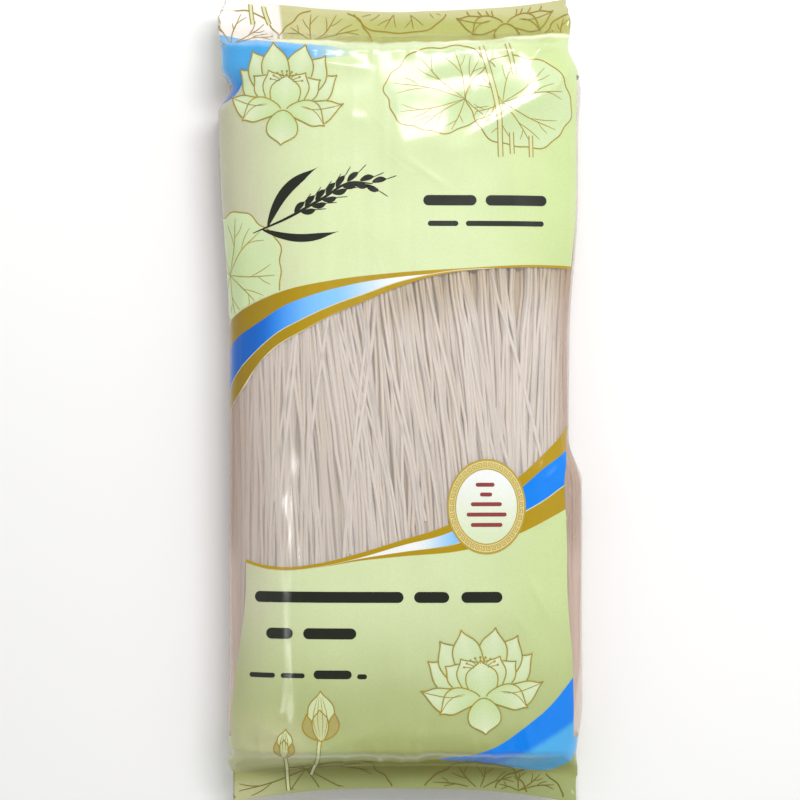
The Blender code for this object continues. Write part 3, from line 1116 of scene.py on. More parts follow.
def strand_routes(settings):
    """Routes of all strands, with tones along each and a girth for each, laid layer by layer."""
    rng = np.random.default_rng(settings.seed)
    routes, tones, girths = [], [], []
    reach = 0.060
    clefts = [[rng.uniform(*limits) for limits in CLEFT_LIMITS] for _ in range(CLEFTS)]

    def lay(u, slant, depth, along, tone):
        wave = 0.0009 * np.sin(along / 0.019 + rng.uniform(0, 6.3))
        across = parted(u + slant * reach * np.tanh(along / reach) + wave, along, clefts)
        s = SKIN.from_flat(across, along)
        deep = depth + 0.0002 * np.sin(along / 0.027 + rng.uniform(0, 6.3))
        deep = deep + (0.0012 * ease(0.7, 0.9, np.abs(s)) + 0.0004) * ease(0.090, 0.102, np.abs(along))
        routes.append(SKIN.point(s, along) - SKIN.normal(s, along) * deep[:, None])
        # Painted shade: strands just under the print's edge get a warmer, darker tone.
        below_print = through(WINDOW_TOP, across / MM) - along / MM
        shaded = ease(20.0, 1.0, below_print) * ease(-0.026, 0.004, across)
        tones.append(np.clip(tone + 1.2 * shaded, 0, 1.8))
        girths.append(rng.uniform(0.84, 1.14))

    def stations(end):
        ends = np.array((0.073, 0.088, 0.101))
        return np.concatenate((-ends[::-1], np.linspace(-0.063, 0.056, 18), ends, [end]))

    for layer, half_width in enumerate((0.142, 0.086, 0.062)):
        places = np.arange(-half_width, half_width, settings.pitch * (1.0, 0.96, 1.05)[layer])
        places = places + 0.0008 * lattice_noise(places / 0.0060, np.full_like(places, layer), 77)
        kinship = lattice_noise(places / 0.0060, np.full_like(places, layer / 2), 78)
        for u, kin in zip(places + rng.uniform(-0.36, 0.36, len(places)) * settings.pitch, kinship):
            end = settings.half_length - rng.uniform(0, 0.003)
            depth = settings.cover + layer * settings.layer_step + rng.uniform(0, 0.00045)
            slant = float(lean(np.array(u))) * bump(0, 0.070, u) + rng.normal(0, 0.030)
            # Painted shade: deeper layers get a warmer, darker tone; kinship and noise vary it at random.
            tone = 0.18 + 0.20 * layer + 0.52 * kin + rng.normal(0.0, 0.10)
            lay(float(u), slant, depth, np.concatenate(([-end], stations(end))), tone)
    for _ in range(CROSSING):
        middle, half = rng.uniform(-0.03, 0.03), rng.uniform(0.035, 0.062)
        slant = -rng.uniform(0.14, 0.30) if rng.uniform() < 0.85 else rng.uniform(0.06, 0.16)
        along = np.linspace(middle - half, middle + half, 14)
        lay(rng.uniform(-0.042, 0.046), slant, settings.cover - 0.0001, along, rng.uniform(-0.1, 0.35))
    return routes, tones, girths


def guide_mesh(routes, tones, girths):
    """Edges along every route, with each strand's tone and girth on its points."""
    points = np.concatenate(routes)
    starts = np.cumsum([0] + [len(route) for route in routes])
    edges = [(k, k + 1) for start, end in zip(starts, starts[1:]) for k in range(start, end - 1)]
    mesh = bpy.data.meshes.new("strand_guides")
    mesh.from_pydata(points.tolist(), edges, [])
    girths = np.repeat(girths, [len(route) for route in routes])
    for name, values in (("tone", np.concatenate(tones)), ("girth", girths)):
        mesh.attributes.new(name, "FLOAT", "POINT").data.foreach_set("value", values)
    return mesh


def strand_tree():
    """Geometry Nodes tree that lays a round strand of rice along every guide."""
    tree = bpy.data.node_groups.new("rice_strands", "GeometryNodeTree")
    new_sockets(tree, "INPUT", {
        "Geometry": ("Geometry", None), "Radius": ("Float", 0.0006), "Sides": ("Int", 6),
        "Wobble": ("Float", 0.0003), "Seed": ("Float", 0.0), "Material": ("Material", None),
    })
    new_sockets(tree, "OUTPUT", {"Geometry": ("Geometry", None)})
    graph = Graph(tree)
    given = graph.add("NodeGroupInput").outputs

    def step(kind, inputs=(), output=0, **settings):
        return graph.add(kind, inputs, **settings).outputs[output]

    place = step("GeometryNodeInputPosition")
    inputs = {"Vector": place, "W": given["Seed"], "Scale": 60.0, "Detail": 1.0}
    offset = step("ShaderNodeTexNoise", inputs, "Color", noise_dimensions="4D")
    offset = step("ShaderNodeVectorMath", {0: offset, 1: (0.5, 0.5, 0.5)}, operation="SUBTRACT")
    offset = step("ShaderNodeVectorMath", {0: offset, "Scale": given["Wobble"]}, operation="SCALE")
    offset = step("ShaderNodeVectorMath", {0: offset, 1: (2.0, 0.0, 0.6)}, operation="MULTIPLY")
    guides = step("GeometryNodeSetPosition", {"Geometry": given["Geometry"], "Offset": offset})
    guides = step("GeometryNodeMeshToCurve", {"Mesh": guides})
    girth = step("GeometryNodeInputNamedAttribute", {"Name": "girth"}, data_type="FLOAT")
    inputs = {"Resolution": given["Sides"], "Radius": given["Radius"]}
    circle = step("GeometryNodeCurvePrimitiveCircle", inputs)
    inputs = {"Curve": guides, "Profile Curve": circle, "Scale": girth, "Fill Caps": True}
    strands = step("GeometryNodeCurveToMesh", inputs)
    strands = step("GeometryNodeSetShadeSmooth", {"Geometry": strands})
    strands = step("GeometryNodeRealizeInstances", {"Geometry": strands})
    strands = step("GeometryNodeSetMaterial", {"Geometry": strands, "Material": given["Material"]})
    graph.add("NodeGroupOutput", {0: strands})
    return tree


def grown(name, guides, tree, values):
    """Mesh that a Geometry Nodes tree makes from a guide mesh, with named input values."""
    obj = new_object(guides.name, guides)
    modifier = obj.modifiers.new(tree.name, "NODES")
    modifier.node_group = tree
    for item in tree.interface.items_tree:
        if item.in_out == "INPUT" and item.name in values:
            modifier[item.identifier] = values[item.name]
    bpy.context.view_layer.update()
    mesh = bpy.data.meshes.new_from_object(obj.evaluated_get(bpy.context.evaluated_depsgraph_get()))
    mesh.name = name
    bpy.data.objects.remove(obj)
    bpy.data.meshes.remove(guides)
    return mesh


class NOODLEBAG_OT_strands(bpy.types.Operator):
    """Lay the dried strands of the bundle, in layers below the film"""

    bl_idname = "noodle_bag.strands"
    bl_label = "Noodle strands"

    def execute(self, context):
        settings = context.scene.noodle_bag_noodles
        values = {
            "Radius": settings.diameter / 2,
            "Sides": settings.sides,
            "Wobble": settings.wobble,
            "Seed": float(settings.seed),
            "Material": strand_material(settings),
        }
        mesh = grown("rice_strands", guide_mesh(*strand_routes(settings)), strand_tree(), values)
        if not len(mesh.polygons):
            raise RuntimeError("the strand tree gave no mesh")
        finish_piece(mesh.name, mesh, [])
        return {"FINISHED"}


# ------------------------------------------------------------------ operators: the film
class FilmGrid:
    """Every vertex of the film, and a search tree that print is laid on."""

    LAY_FROM = 0.004       # height over the film that ink falls from
    LAY_REACH = 0.009      # how far it may fall

    def __init__(self):
        s, y, self.zone = film_lines()
        self.points = film_point(s, y)
        self.points[:, -1] = self.points[:, 0]
        self.flat = np.stack((SKIN.to_flat(s, y), SKIN.point(s, y)[..., 1]), axis=-1) / MM
        self.columns = y.shape[1]
        quads = self.quads(lambda name, zone: True)[0]
        self.tree = BVHTree.FromPolygons(self.points.reshape(-1, 3).tolist(), quads.tolist())

    def quads(self, wanted):
        """Vertex numbers and flat film places of the corners of all quads in wanted bands and zones."""
        names = [name for name, count in ROWS for _ in range(count)]
        faces = []
        for row, name in enumerate(names):
            c = np.array([c for c in range(self.columns - 1) if wanted(name, self.zone[c])], int)
            low, high = row * self.columns + c, (row + 1) * self.columns + c
            faces.append(np.stack((low, low + 1, high + 1, high), axis=1))
        faces = np.concatenate(faces)
        places = self.flat.reshape(-1, 2)[faces]
        last = self.columns - 1
        return np.where(faces % self.columns == last, faces - last, faces), places

    def lay(self, places, lift):
        """Points of the film at plan places in millimetres, raised by lift, and their stations."""
        u, v = places[:, 0] * MM, places[:, 1] * MM
        y = SKIN.station(u, v)
        s = SKIN.from_flat(u, y)
        out = SKIN.normal(s, y, reach=0.003)
        starts = SKIN.point(s, y) + out * self.LAY_FROM
        points = []
        for start, direction, height in zip(starts.tolist(), out.tolist(), lift):
            outward = Vector(direction)
            hit = self.tree.ray_cast(Vector(start), -outward, self.LAY_REACH)[0]
            points.append((hit or Vector(start) - outward * self.LAY_FROM) + outward * float(height))
        return points, y

    def mesh(self, name, wanted):
        """Mesh of the quads in wanted bands and zones."""
        faces, places = self.quads(wanted)
        used, packed = np.unique(faces, return_inverse=True)
        mesh = bpy.data.meshes.new(name)
        mesh.from_pydata(self.points.reshape(-1, 3)[used].tolist(), [], packed.reshape(faces.shape).tolist())
        lay_flat(mesh, places)
        return mesh


@cache
def film_grid():
    return FilmGrid()


def end_chains(bm, sign):
    """The open ring at one end of a film, as two chains from its right to its left point."""
    far = max(abs(vertex.co.y) for vertex in bm.verts)
    open_edges = {
        edge
        for edge in bm.edges
        if edge.is_boundary and all(sign * vertex.co.y > far - 0.008 for vertex in edge.verts)
    }
    ring = list(next(iter(open_edges)).verts)
    while ring[-1] is not ring[0]:
        edge = next(edge for edge in ring[-1].link_edges if edge in open_edges and ring[-2] not in edge.verts)
        ring.append(edge.other_vert(ring[-1]))
    ring.pop()
    start = max(range(len(ring)), key=lambda k: ring[k].co.x)
    ring = ring[start:] + ring[:start]
    turn = min(range(len(ring)), key=lambda k: ring[k].co.x)
    return ring[:turn + 1], [ring[0]] + ring[:turn - 1:-1]


def close_end(mesh, sign):
    """Close the cut edge of the seal at one end of a film mesh with a strip between its layers."""
    with edited(mesh) as bm:
        uv = bm.loops.layers.uv["flat_film"]
        one, other = end_chains(bm, sign)
        places = {vertex: vertex.link_loops[0][uv].uv.copy() for vertex in one + other}
        corners = [(one[0], one[1], other[1])]
        i = j = 1
        while i < len(one) - 2 or j < len(other) - 2:
            if j == len(other) - 2 or (i < len(one) - 2 and one[i + 1].co.x > other[j + 1].co.x):
                corners.append((one[i], one[i + 1], other[j]))
                i += 1
            else:
                corners.append((one[i], other[j + 1], other[j]))
                j += 1
        corners.append((one[-2], one[-1], other[-2]))
        for three in corners:
            face = bm.faces.new(three)
            face.normal_update()
            if face.normal.y * sign < 0:
                face.normal_flip()
            for loop in face.loops:
                loop[uv].uv = places[loop.vert]


class NOODLEBAG_OT_printed_film(bpy.types.Operator):
    """Make the two printed ends of the film, each with its pressed seal"""

    bl_idname = "noodle_bag.printed_film"
    bl_label = "Printed film"

    def execute(self, context):
        colours = context.scene.noodle_bag_print
        for name, bands, fields, sign in (
            ("upper_print", ("upper", "head_slope", "head_seal"), upper_fields, 1),
            ("lower_print", ("foot_seal", "foot_slope", "lower"), lower_fields, -1),
        ):
            mesh = film_grid().mesh("film_" + name, lambda band, zone: band in bands and printed(band, zone))
            close_end(mesh, sign)
            finish_piece(mesh.name, mesh, [print_material(name, colours, fields)], sign > 0)
        return {"FINISHED"}


class NOODLEBAG_OT_clear_film(bpy.types.Operator):
    """Make the clear film of the window and the sides"""

    bl_idname = "noodle_bag.clear_film"
    bl_label = "Clear film"

    def execute(self, context):
        mesh = film_grid().mesh("film_clear", lambda band, zone: not printed(band, zone))
        finish_piece(mesh.name, mesh, [clear_film_material(context.scene.noodle_bag_film)])
        return {"FINISHED"}


# ------------------------------------------------------------------ ink on the film
INK_LIFT = 0.00007     # height of ink over the film, and of each layer over the last, in metres
LAYER_LIFT = 0.000012
EDGE_ROOM = 0.25       # bare film between ink and the print's edges, in mm
END_ROOM = 0.0008      # bare film between ink and the bag's ends, in metres
LINE_STEP = 0.5        # distance between the points of a drawn line, in mm
LINES, PETALS, BUDS = range(3)     # material slots of the plants; every piece has its lines in the first


def travelled(points):
    """Distance along a line of points, from its start."""
    return np.concatenate(((0.0,), np.cumsum(np.hypot(*np.diff(points, axis=0).T))))


def smooth_line(points):
    """Evenly spaced points along a smooth curve through given places."""
    points = np.array(points, float)
    apart = np.hypot(*np.diff(points, axis=0).T) > 1e-6
    points = points[np.concatenate(([True], apart))]
    if len(points) > 2:
        chord = travelled(points)
        fine = np.linspace(0, chord[-1], 12 * len(points))
        points = on_curve(chord, points, np.gradient(points, chord, axis=0), fine)
    chord = travelled(points)
    places = np.linspace(0, chord[-1], max(3, int(chord[-1] / LINE_STEP) + 1))
    return np.stack([np.interp(places, chord, line) for line in points.T], axis=-1)


def sides_of(path, width):
    """Offset to one side of every point of a path, width long."""
    heading = np.gradient(path, axis=0)
    heading = heading / np.maximum(np.linalg.norm(heading, axis=1, keepdims=True), 1e-9)
    return np.stack((-heading[:, 1], heading[:, 0]), axis=-1) * width


class InkSheets:
    """Thin printed sheets that lie on the finished film, gathered into one mesh."""

    def __init__(self):
        self.places, self.lifts, self.tones, self.faces, self.slots = [], [], [], [], []
        self.count = 0
        self.within()

    def within(self, low=None, high=None):
        """Keep what is drawn from now on above the curve low and below the curve high."""
        self.low, self.high = low, high

    def held(self, places):
        """The same places, moved onto the printed face where they pass its edges."""
        y = places[..., 1] * MM
        left, right = left_print_edge(y) / MM + EDGE_ROOM, right_print_edge(y) / MM - EDGE_ROOM
        u, v = np.clip(places[..., 0], left, right), places[..., 1]
        if self.low is not None:
            v = np.maximum(v, through(self.low, u))
        if self.high is not None:
            v = np.minimum(v, through(self.high, u))
        return np.stack((u, v), axis=-1)

    def sheet(self, rows, slot=0, layer=0.0, tone=0.0, cut=False):
        """Sheet of quads through equal rows of places in millimetres, cut or pressed to the print's edges."""
        wanted = np.asarray(rows, float)
        rows = self.held(wanted)
        down, over = rows.shape[:2]
        quads = grid_quads(np.arange(down * over).reshape(down, over))
        moved = np.abs(rows - wanted).max(axis=-1).reshape(-1)[quads] > 0.02
        quads = quads[~(moved.any(axis=1) if cut else moved.all(axis=1) & self.squeezed(rows, quads))]
        if not len(quads):
            return
        corners = rows.reshape(-1, 2)[quads]
        after = np.roll(corners, -1, axis=1)
        if np.sum(corners[..., 0] * after[..., 1] - corners[..., 1] * after[..., 0]) < 0:
            quads = quads[:, ::-1]
        self.places.append(rows.reshape(-1, 2))
        self.lifts.append(np.full(down * over, INK_LIFT + layer * LAYER_LIFT))
        self.tones.append(np.broadcast_to(tone, (down, over)).reshape(-1))
        self.faces.append(quads + self.count)
        self.slots.append(np.full(len(quads), slot))
        self.count += down * over

    def squeezed(self, rows, quads):
        """Which quads have been pressed to nothing."""
        corners = rows.reshape(-1, 2)[quads]
        first, second = corners[:, 2] - corners[:, 0], corners[:, 3] - corners[:, 1]
        return np.abs(first[:, 0] * second[:, 1] - first[:, 1] * second[:, 0]) < 1e-4

    def line(self, points, width, layer, taper=0.0):
        """Ribbon of ink along a smooth line, thinner towards its ends by taper."""
        path = smooth_line(points)
        share = np.linspace(-1, 1, len(path))[:, None]
        side = sides_of(path, width / 2 * (1 - taper * np.abs(share) ** 2.5))
        self.sheet(np.stack((path - side, path + side), axis=1), LINES, layer, cut=True)

    def piece(self, name, materials):
        """Lay the sheets on the film, drop what passes its ends, and make the piece."""
        places = np.concatenate(self.places)
        points, y = film_grid().lay(places, np.concatenate(self.lifts))
        faces, slots = np.concatenate(self.faces), np.concatenate(self.slots)
        kept = np.abs(y[faces]).max(axis=1) < HALF_LENGTH - END_ROOM
        faces, slots = faces[kept], slots[kept]
        mesh = bpy.data.meshes.new(name)
        mesh.from_pydata(points, [], faces.tolist())
        for material in materials:
            mesh.materials.append(material)
        mesh.polygons.foreach_set("material_index", slots)
        mesh.attributes.new("tone", "FLOAT", "POINT").data.foreach_set("value", np.concatenate(self.tones))
        lay_flat(mesh, places[faces])
        with edited(mesh) as bm:
            loose = [vertex for vertex in bm.verts if not vertex.link_faces]
            bmesh.ops.delete(bm, geom=loose, context="VERTS")
            bmesh.ops.remove_doubles(bm, verts=bm.verts[:], dist=1e-7)
            bmesh.ops.dissolve_degenerate(bm, edges=bm.edges[:], dist=1e-7)
        finish_piece(name, mesh, [])


def petal(root, tip, width, bend=0.0, blunt=0.52, sharp=0.95):
    """Rows of a petal from root to tip; the first and last columns are its outline."""
    t = np.linspace(0, 1, 29)[:, None]
    root, tip = np.array(root, float), np.array(tip, float)
    run = tip - root
    side = np.array((run[1], -run[0])) / np.hypot(*run)
    spine = root + run * t + side * bend * np.sin(np.pi * t)
    power = blunt + sharp * ease(0.60, 1.0, t)
    half = width / 2 * np.sin(np.pi * np.clip(t, 0, 1) ** 1.08) ** power
    across = np.linspace(-1, 1, 7)[None, :, None]
    return spine[:, None, :] + side * half[:, :, None] * across


def turned(places, degrees, centre=(0.0, 0.0), size=1.0):
    """Places turned about the origin, scaled and moved to centre."""
    angle = math.radians(degrees)
    cosine, sine = math.cos(angle), math.sin(angle)
    places = np.asarray(places, float) * size
    x = places[..., 0] * cosine - places[..., 1] * sine
    y = places[..., 0] * sine + places[..., 1] * cosine
    return np.stack((x, y), axis=-1) + np.array(centre)


def outline(rows):
    """Closed outline of a petal's rows."""
    return np.concatenate((rows[:, 0], rows[::-1, -1]))


def inside(points, polygon):
    """Which points lie inside a closed polygon."""
    x, y = points[:, 0][:, None], points[:, 1][:, None]
    x1, y1 = polygon.T
    x2, y2 = np.roll(polygon, -1, axis=0).T
    spans = (y1 > y) != (y2 > y)
    rise = np.where(y2 == y1, 1e-9, y2 - y1)
    crossings = spans & (x < (x2 - x1) * (y - y1) / rise + x1)
    return crossings.sum(axis=1) % 2 == 1


def draw_overlapping(ink, shapes, width, fill, tones=None):
    """Fill shapes from back to front, if fill isn't None, and outline what no later shape covers."""
    edges = [outline(rows) for rows in shapes]
    for k, rows in enumerate(shapes):
        share = np.linspace(0, 1, rows.shape[0])[:, None] ** 1.3
        shade = np.abs(np.linspace(-1, 1, rows.shape[1]))[None, :]
        tone = np.clip(share * 0.9 + 0.25 - 0.35 * shade, 0, 1) if tones is None else tones[k]
        if fill is not None:
            ink.sheet(rows, fill, k, tone)
        border = smooth_line(np.concatenate((edges[k], edges[k][:1])))
        hidden = np.zeros(len(border), bool)
        for later in edges[k + 1:]:
            hidden |= inside(border, later)
        runs = np.split(np.arange(len(border)), np.flatnonzero(np.diff(hidden.astype(int))) + 1)
        for run in runs:
            if not hidden[run[0]] and len(run) > 2:
                ink.line(border[run], width, len(shapes) + 2)


# Petals of a lotus seen from the side, from back to front: angle from upright in degrees,
# length, width, bend, and the root's place.  Each one off the middle is drawn on both sides.
LOTUS = (
    (60, 19.0, 9.0, 2.2, (1.0, -1.0)),
    (36, 19.5, 9.6, 1.2, (1.5, -1.0)),
    (14, 19.5, 9.6, 0.6, (1.0, -1.0)),
    (86, 19.5, 8.2, 3.4, (1.0, -2.5)),
    (44, 15.0, 9.4, -1.4, (1.5, -4.5)),
    (22, 14.5, 9.4, -1.0, (1.2, -5.0)),
    (0, 13.5, 10.6, 0.0, (0.0, -6.0)),
    (110, 14.5, 7.8, -2.2, (1.0, -4.5)),
    (180, 12.0, 10.8, 0.0, (0.0, -5.0)),
)
POD_AFTER = 5          # number of petal rows behind the seed pod
STAMENS = 9
VEINS = 8
LIPPED = (86, 110)     # angles of the petals whose upper edge is turned over


def draw_lotus(ink, centre, size, turn, fill=PETALS):
    """Side view of an open lotus, the old ornament: cup of petals round a seed pod."""

    def placed(places):
        return turned(places, turn, centre, size)

    shapes, lips = [], []
    for number, (angle, length, width, bend, root) in enumerate(LOTUS):
        reach = math.radians(angle)
        tip = (root[0] + length * math.sin(reach), root[1] + length * math.cos(reach))
        for side in (1, -1) if angle % 180 else (1,):
            rows = petal(root, tip, width, bend) * np.array((side, 1))
            shapes.append(placed(rows))
            if angle in LIPPED:
                lips.append(placed(0.45 * rows[8:, 1] + 0.55 * rows[8:, 3]))
        if number + 1 == POD_AFTER:
            shapes.append(placed(petal((-3.4, 3.6), (3.4, 3.6), 6.4, 0.0, 0.4, 0.0)))
    draw_overlapping(ink, shapes, 0.38, fill)
    high = len(shapes) + 3
    for lip in lips:
        ink.line(lip, 0.26, high, 0.6)
    for k in range(STAMENS):
        reach = math.radians(-64 + 16 * k)
        tip = (6.2 * math.sin(reach), 3.2 + 5.2 * math.cos(reach))
        stamen = placed([(2.6 * math.sin(reach), 4.0 + 2.2 * math.cos(reach)), tip])
        ink.line(stamen, 0.24, high)
        ink.line([stamen[1] - (0.3, 0.0), stamen[1] + (0.3, 0.0)], 0.6, high)


def pad_edge(radii, waves, depth, phase, angle):
    """Wavy round edge of a lotus leaf, as places about its middle."""
    reach = 1 + depth * np.sin(waves * angle + phase)
    reach = reach + 0.5 * depth * np.sin((2 * waves + 1) * angle + 2 * phase)
    return np.stack((radii[0] * reach * np.cos(angle), radii[1] * reach * np.sin(angle)), axis=-1)


def draw_pad(ink, centre, radii, turn, hub, waves, phase, arc=(0, 360), bold=1.0, fill=True):
    """Lotus leaf: wavy rim, and veins that bow away from its hub and fork."""
    start, end = math.radians(arc[0]), math.radians(arc[1])
    middle = np.array(hub) * radii

    def rim(angle):
        return pad_edge(radii, waves, 0.035, phase, np.array(angle))

    def draw(points, width, taper=0.0):
        ink.line(turned(points, turn, centre), width * bold, 1, taper)

    edge = rim(np.linspace(start, end, 90))
    if fill:
        rows = middle + (edge - middle) * np.linspace(0, 1, 16)[:, None, None]
        ink.sheet(turned(rows, turn, centre), PETALS, -2, np.linspace(0.15, 0.5, 16)[:, None])
    draw(edge, 0.42)
    for k in range(VEINS):
        direction = start + (end - start) * (k + 0.5 + 0.16 * math.sin(5 * k + phase)) / VEINS
        bend = 0.10 * (-1) ** k + 0.05 * math.sin(3 * k)
        main = rim([direction])[0] - middle
        side = np.array((-main[1], main[0]))
        for spread, from_share, width, reach, bow in (
            (0.0, 0.0, 0.34, 0.9, 0.5), (0.24, 0.46, 0.27, 0.84, 0.22), (-0.20, 0.60, 0.25, 0.84, 0.22),
        ):
            root = middle + main * from_share + side * bend * from_share * (1 - from_share) * 2
            tip = middle + (rim([direction + spread])[0] - middle) * reach
            draw([root, (root + tip) / 2 + side * bend * bow, tip], width, 0.5)


def draw_stem(ink, points, width):
    """Stem as a pale ribbon between two lines."""
    path = smooth_line(points)
    side = sides_of(path, width / 2)
    ink.sheet(np.stack((path - side, path + side), axis=1), BUDS, 4, 0.85)
    for edge in (path - side, path + side):
        ink.line(edge, 0.34, 5)


def draw_bud(ink, centre, size, turn):
    """Closed bud: a pale heart between two folded petals."""
    shapes = [
        petal((0.2, -6.5), (0.3, 9.8), 8.8, 0.0, 0.60, 1.0),
        petal((0.8, -6.5), (4.6, 2.6), 3.6, 1.5),
        petal((-0.8, -6.5), (-4.6, 2.2), 3.6, -1.5),
        petal((0.0, -7.0), (-0.2, 3.6), 5.4, 0.0),
    ]
    shapes = [turned(rows, turn, centre, size) for rows in shapes]
    draw_overlapping(ink, shapes, 0.36, BUDS, (0.95, 0.1, 0.1, 0.7))
    for across in (-2.3, -0.9, 0.7, 2.1):
        fold = [(across * 0.5, -5.5), (across * 1.05, 0.0), (across * 0.35, 7.6)]
        ink.line(turned(fold, turn, centre, size), 0.22, 3.5, 0.8)


# Leaves of the plants, each as centre, radii, turn, hub, and waves and phase of the rim: the
# filled ones at the head, with the arc of the rim that is drawn, and the bare ones on the seals.
HEAD_PADS = (
    ((14, 102), (19, 14), 8, (0.35, -0.3), 7, 0.4, (20, 335)),
    ((40, 98), (18, 15), -10, (-0.35, -0.1), 6, 1.3, (0, 360)),
    ((-57, 44), (18, 18), 20, (-0.15, -0.1), 7, 0.9, (0, 360)),
)
SEAL_PADS = (
    ((-25, 120), (15, 11.5), 0, (-0.3, -0.15), 6, 2.2),
    ((-53, 121), (13, 9.5), -20, (-0.2, -0.5), 5, 0.7),
    ((0, 134), (17, 11), 0, (0.1, 0.1), 5, 0.3),
    ((60, 122), (12, 8), 12, (-0.6, -0.2), 6, 1.7),
    ((-32, -128), (28, 12), -4, (0.0, 0.35), 8, 1.1),
    ((25, -133), (17, 12), 5, (0.1, 0.1), 7, 2.0),
    ((43, -133), (11, 9), 0, (-0.3, 0.15), 5, 0.9),
)

# Stems: width, then the places they pass.
STEMS = (
    (1.5, (26.5, 116), (29, 108), (32, 96), (33, 80)),
    (1.3, (35, 117), (36.5, 112), (37.5, 107)),
    (1.3, (36.5, 88), (36.8, 81)),
    (1.2, (43, 87), (43.2, 80)),
    (1.2, (-26.5, -112), (-27.3, -118), (-30, -126)),
    (1.2, (-38, -118), (-38, -126), (-37.5, -134)),
)
SEAL_STEMS = (
    (1.2, (-50.5, 134), (-50, 129), (-49.5, 126)),
    (1.2, (-46.5, 134), (-45.5, 130), (-44, 126)),
)


class NOODLEBAG_OT_flowers(bpy.types.Operator):
    """Print the two open lotus flowers"""

    bl_idname = "noodle_bag.flowers"
    bl_label = "Printed flowers"

    def execute(self, context):
        ink = InkSheets()
        draw_lotus(ink, (-38.0, 100.0), 0.96, -5.0)
        draw_lotus(ink, (26.8, -92.8), 1.0, 4.0)
        ink.piece("print_flowers", flower_materials(context.scene.noodle_bag_print))
        return {"FINISHED"}


class NOODLEBAG_OT_leaves(bpy.types.Operator):
    """Print the lotus leaves, stems and buds"""

    bl_idname = "noodle_bag.leaves"
    bl_label = "Printed leaves"

    def execute(self, context):
        ink = InkSheets()
        for *pad, arc in HEAD_PADS:
            ink.within(low=raised(UPPER_GOLD_TOP, 0.3) if pad[0][0] < 0 else None)
            draw_pad(ink, *pad, arc)
        for pad in SEAL_PADS:
            at_head = pad[0][1] > 0
            low, high = raised(HEAD_RIDGE, 0.5), raised(FOOT_RIDGE, -0.5)
            ink.within(low if at_head else None, None if at_head else high)
            draw_pad(ink, *pad, bold=1.2, fill=False)
        ink.within()
        for width, *points in STEMS:
            draw_stem(ink, points, width)
        draw_bud(ink, (-26.2, -105), 1.0, 2)
        draw_bud(ink, (-38.2, -113.6), 0.58, -4)
        ink.within(low=raised(HEAD_RIDGE, 0.6))
        for width, *points in SEAL_STEMS:
            draw_stem(ink, points, width)
        draw_lotus(ink, (35, 130.5), 0.80, 4, fill=None)
        ink.piece("print_leaves", flower_materials(context.scene.noodle_bag_print))
        return {"FINISHED"}


class NOODLEBAG_OT_sprig(bpy.types.Operator):
    """Print a dark ear of rice at the upper left of the face"""

    bl_idname = "noodle_bag.sprig"
    bl_label = "Printed rice ear"

    GRAINS = 15

    def execute(self, context):
        ink = InkSheets()
        stem = smooth_line([(-49, 55), (-38, 59.5), (-26, 66), (-16, 71.5), (-9, 71)])
        ink.line(stem, 0.9, 2, 0.7)
        heading = np.gradient(stem, axis=0)
        for k in range(self.GRAINS):
            at = int(len(stem) * (0.34 + 0.045 * k))
            if at >= len(stem):
                break
            lie = math.degrees(math.atan2(heading[at, 1], heading[at, 0]))
            side = (-1) ** k
            grain = petal((0.6, 0.5 * side), (5.4, 2.1 * side), 1.9, -0.3 * side, 0.6, 0.5)
            ink.sheet(turned(grain, lie, stem[at]), 0, 3)
            ink.line(turned([(5.2, 2.0 * side), (8.4, 3.5 * side)], lie, stem[at]), 0.28, 3, 0.4)
        ink.sheet(petal((-44, 57), (-27, 76.5), 3.4, -3.0), 0, 3)
        ink.sheet(petal((-46, 56.2), (-20, 55.5), 2.6, 2.6), 0, 3)
        ink.piece("print_rice_ear", [ink_material("dark_ink", context.scene.noodle_bag_print.ink)])
        return {"FINISHED"}


# Bars that stand where a pack has its words: left end, middle height, length and height in mm.
BARS = (
    (7.5, 65.6, 17.5, 3.4), (28.0, 65.6, 20.5, 3.4), (9.0, 58.0, 10.0, 1.7), (21.5, 58.0, 26.0, 1.7),
    (-48.5, -64.8, 49.5, 3.6), (4.5, -64.8, 11.5, 3.6), (20.0, -64.8, 13.5, 3.6),
    (-44.5, -76.8, 9.0, 3.6), (-32.0, -76.8, 17.5, 3.6), (-50.5, -90.6, 9.0, 1.6), (-39.5, -90.6, 8.0, 1.6),
    (-28.5, -90.2, 12.5, 2.8), (-14.2, -90.8, 3.2, 1.6),
)


def draw_bar(ink, left, middle, length, height, slot=0, layer=2.0):
    """Straight bar with round ends."""
    radius = height / 2
    cap = radius * (1 - np.cos(np.linspace(0, np.pi / 2, 7)))
    straight = np.linspace(radius, length - radius, max(4, int(length / 0.8)))[1:-1]
    x = np.concatenate((cap, straight, length - cap[::-1]))[:, None]
    end = np.minimum(x, length - x)
    half = np.sqrt(np.maximum(radius**2 - np.maximum(radius - end, 0.0) ** 2, 0.0))
    across = np.linspace(-1, 1, 5)[None, :]
    ink.sheet(np.stack(np.broadcast_arrays(left + x, middle + half * across), axis=-1), slot, layer)


class NOODLEBAG_OT_bars(bpy.types.Operator):
    """Print the plain dark bars"""

    bl_idname = "noodle_bag.bars"
    bl_label = "Printed bars"

    def execute(self, context):
        ink = InkSheets()
        for bar in BARS:
            draw_bar(ink, *bar)
        ink.piece("print_bars", [ink_material("bar_ink", context.scene.noodle_bag_print.ink)])
        return {"FINISHED"}


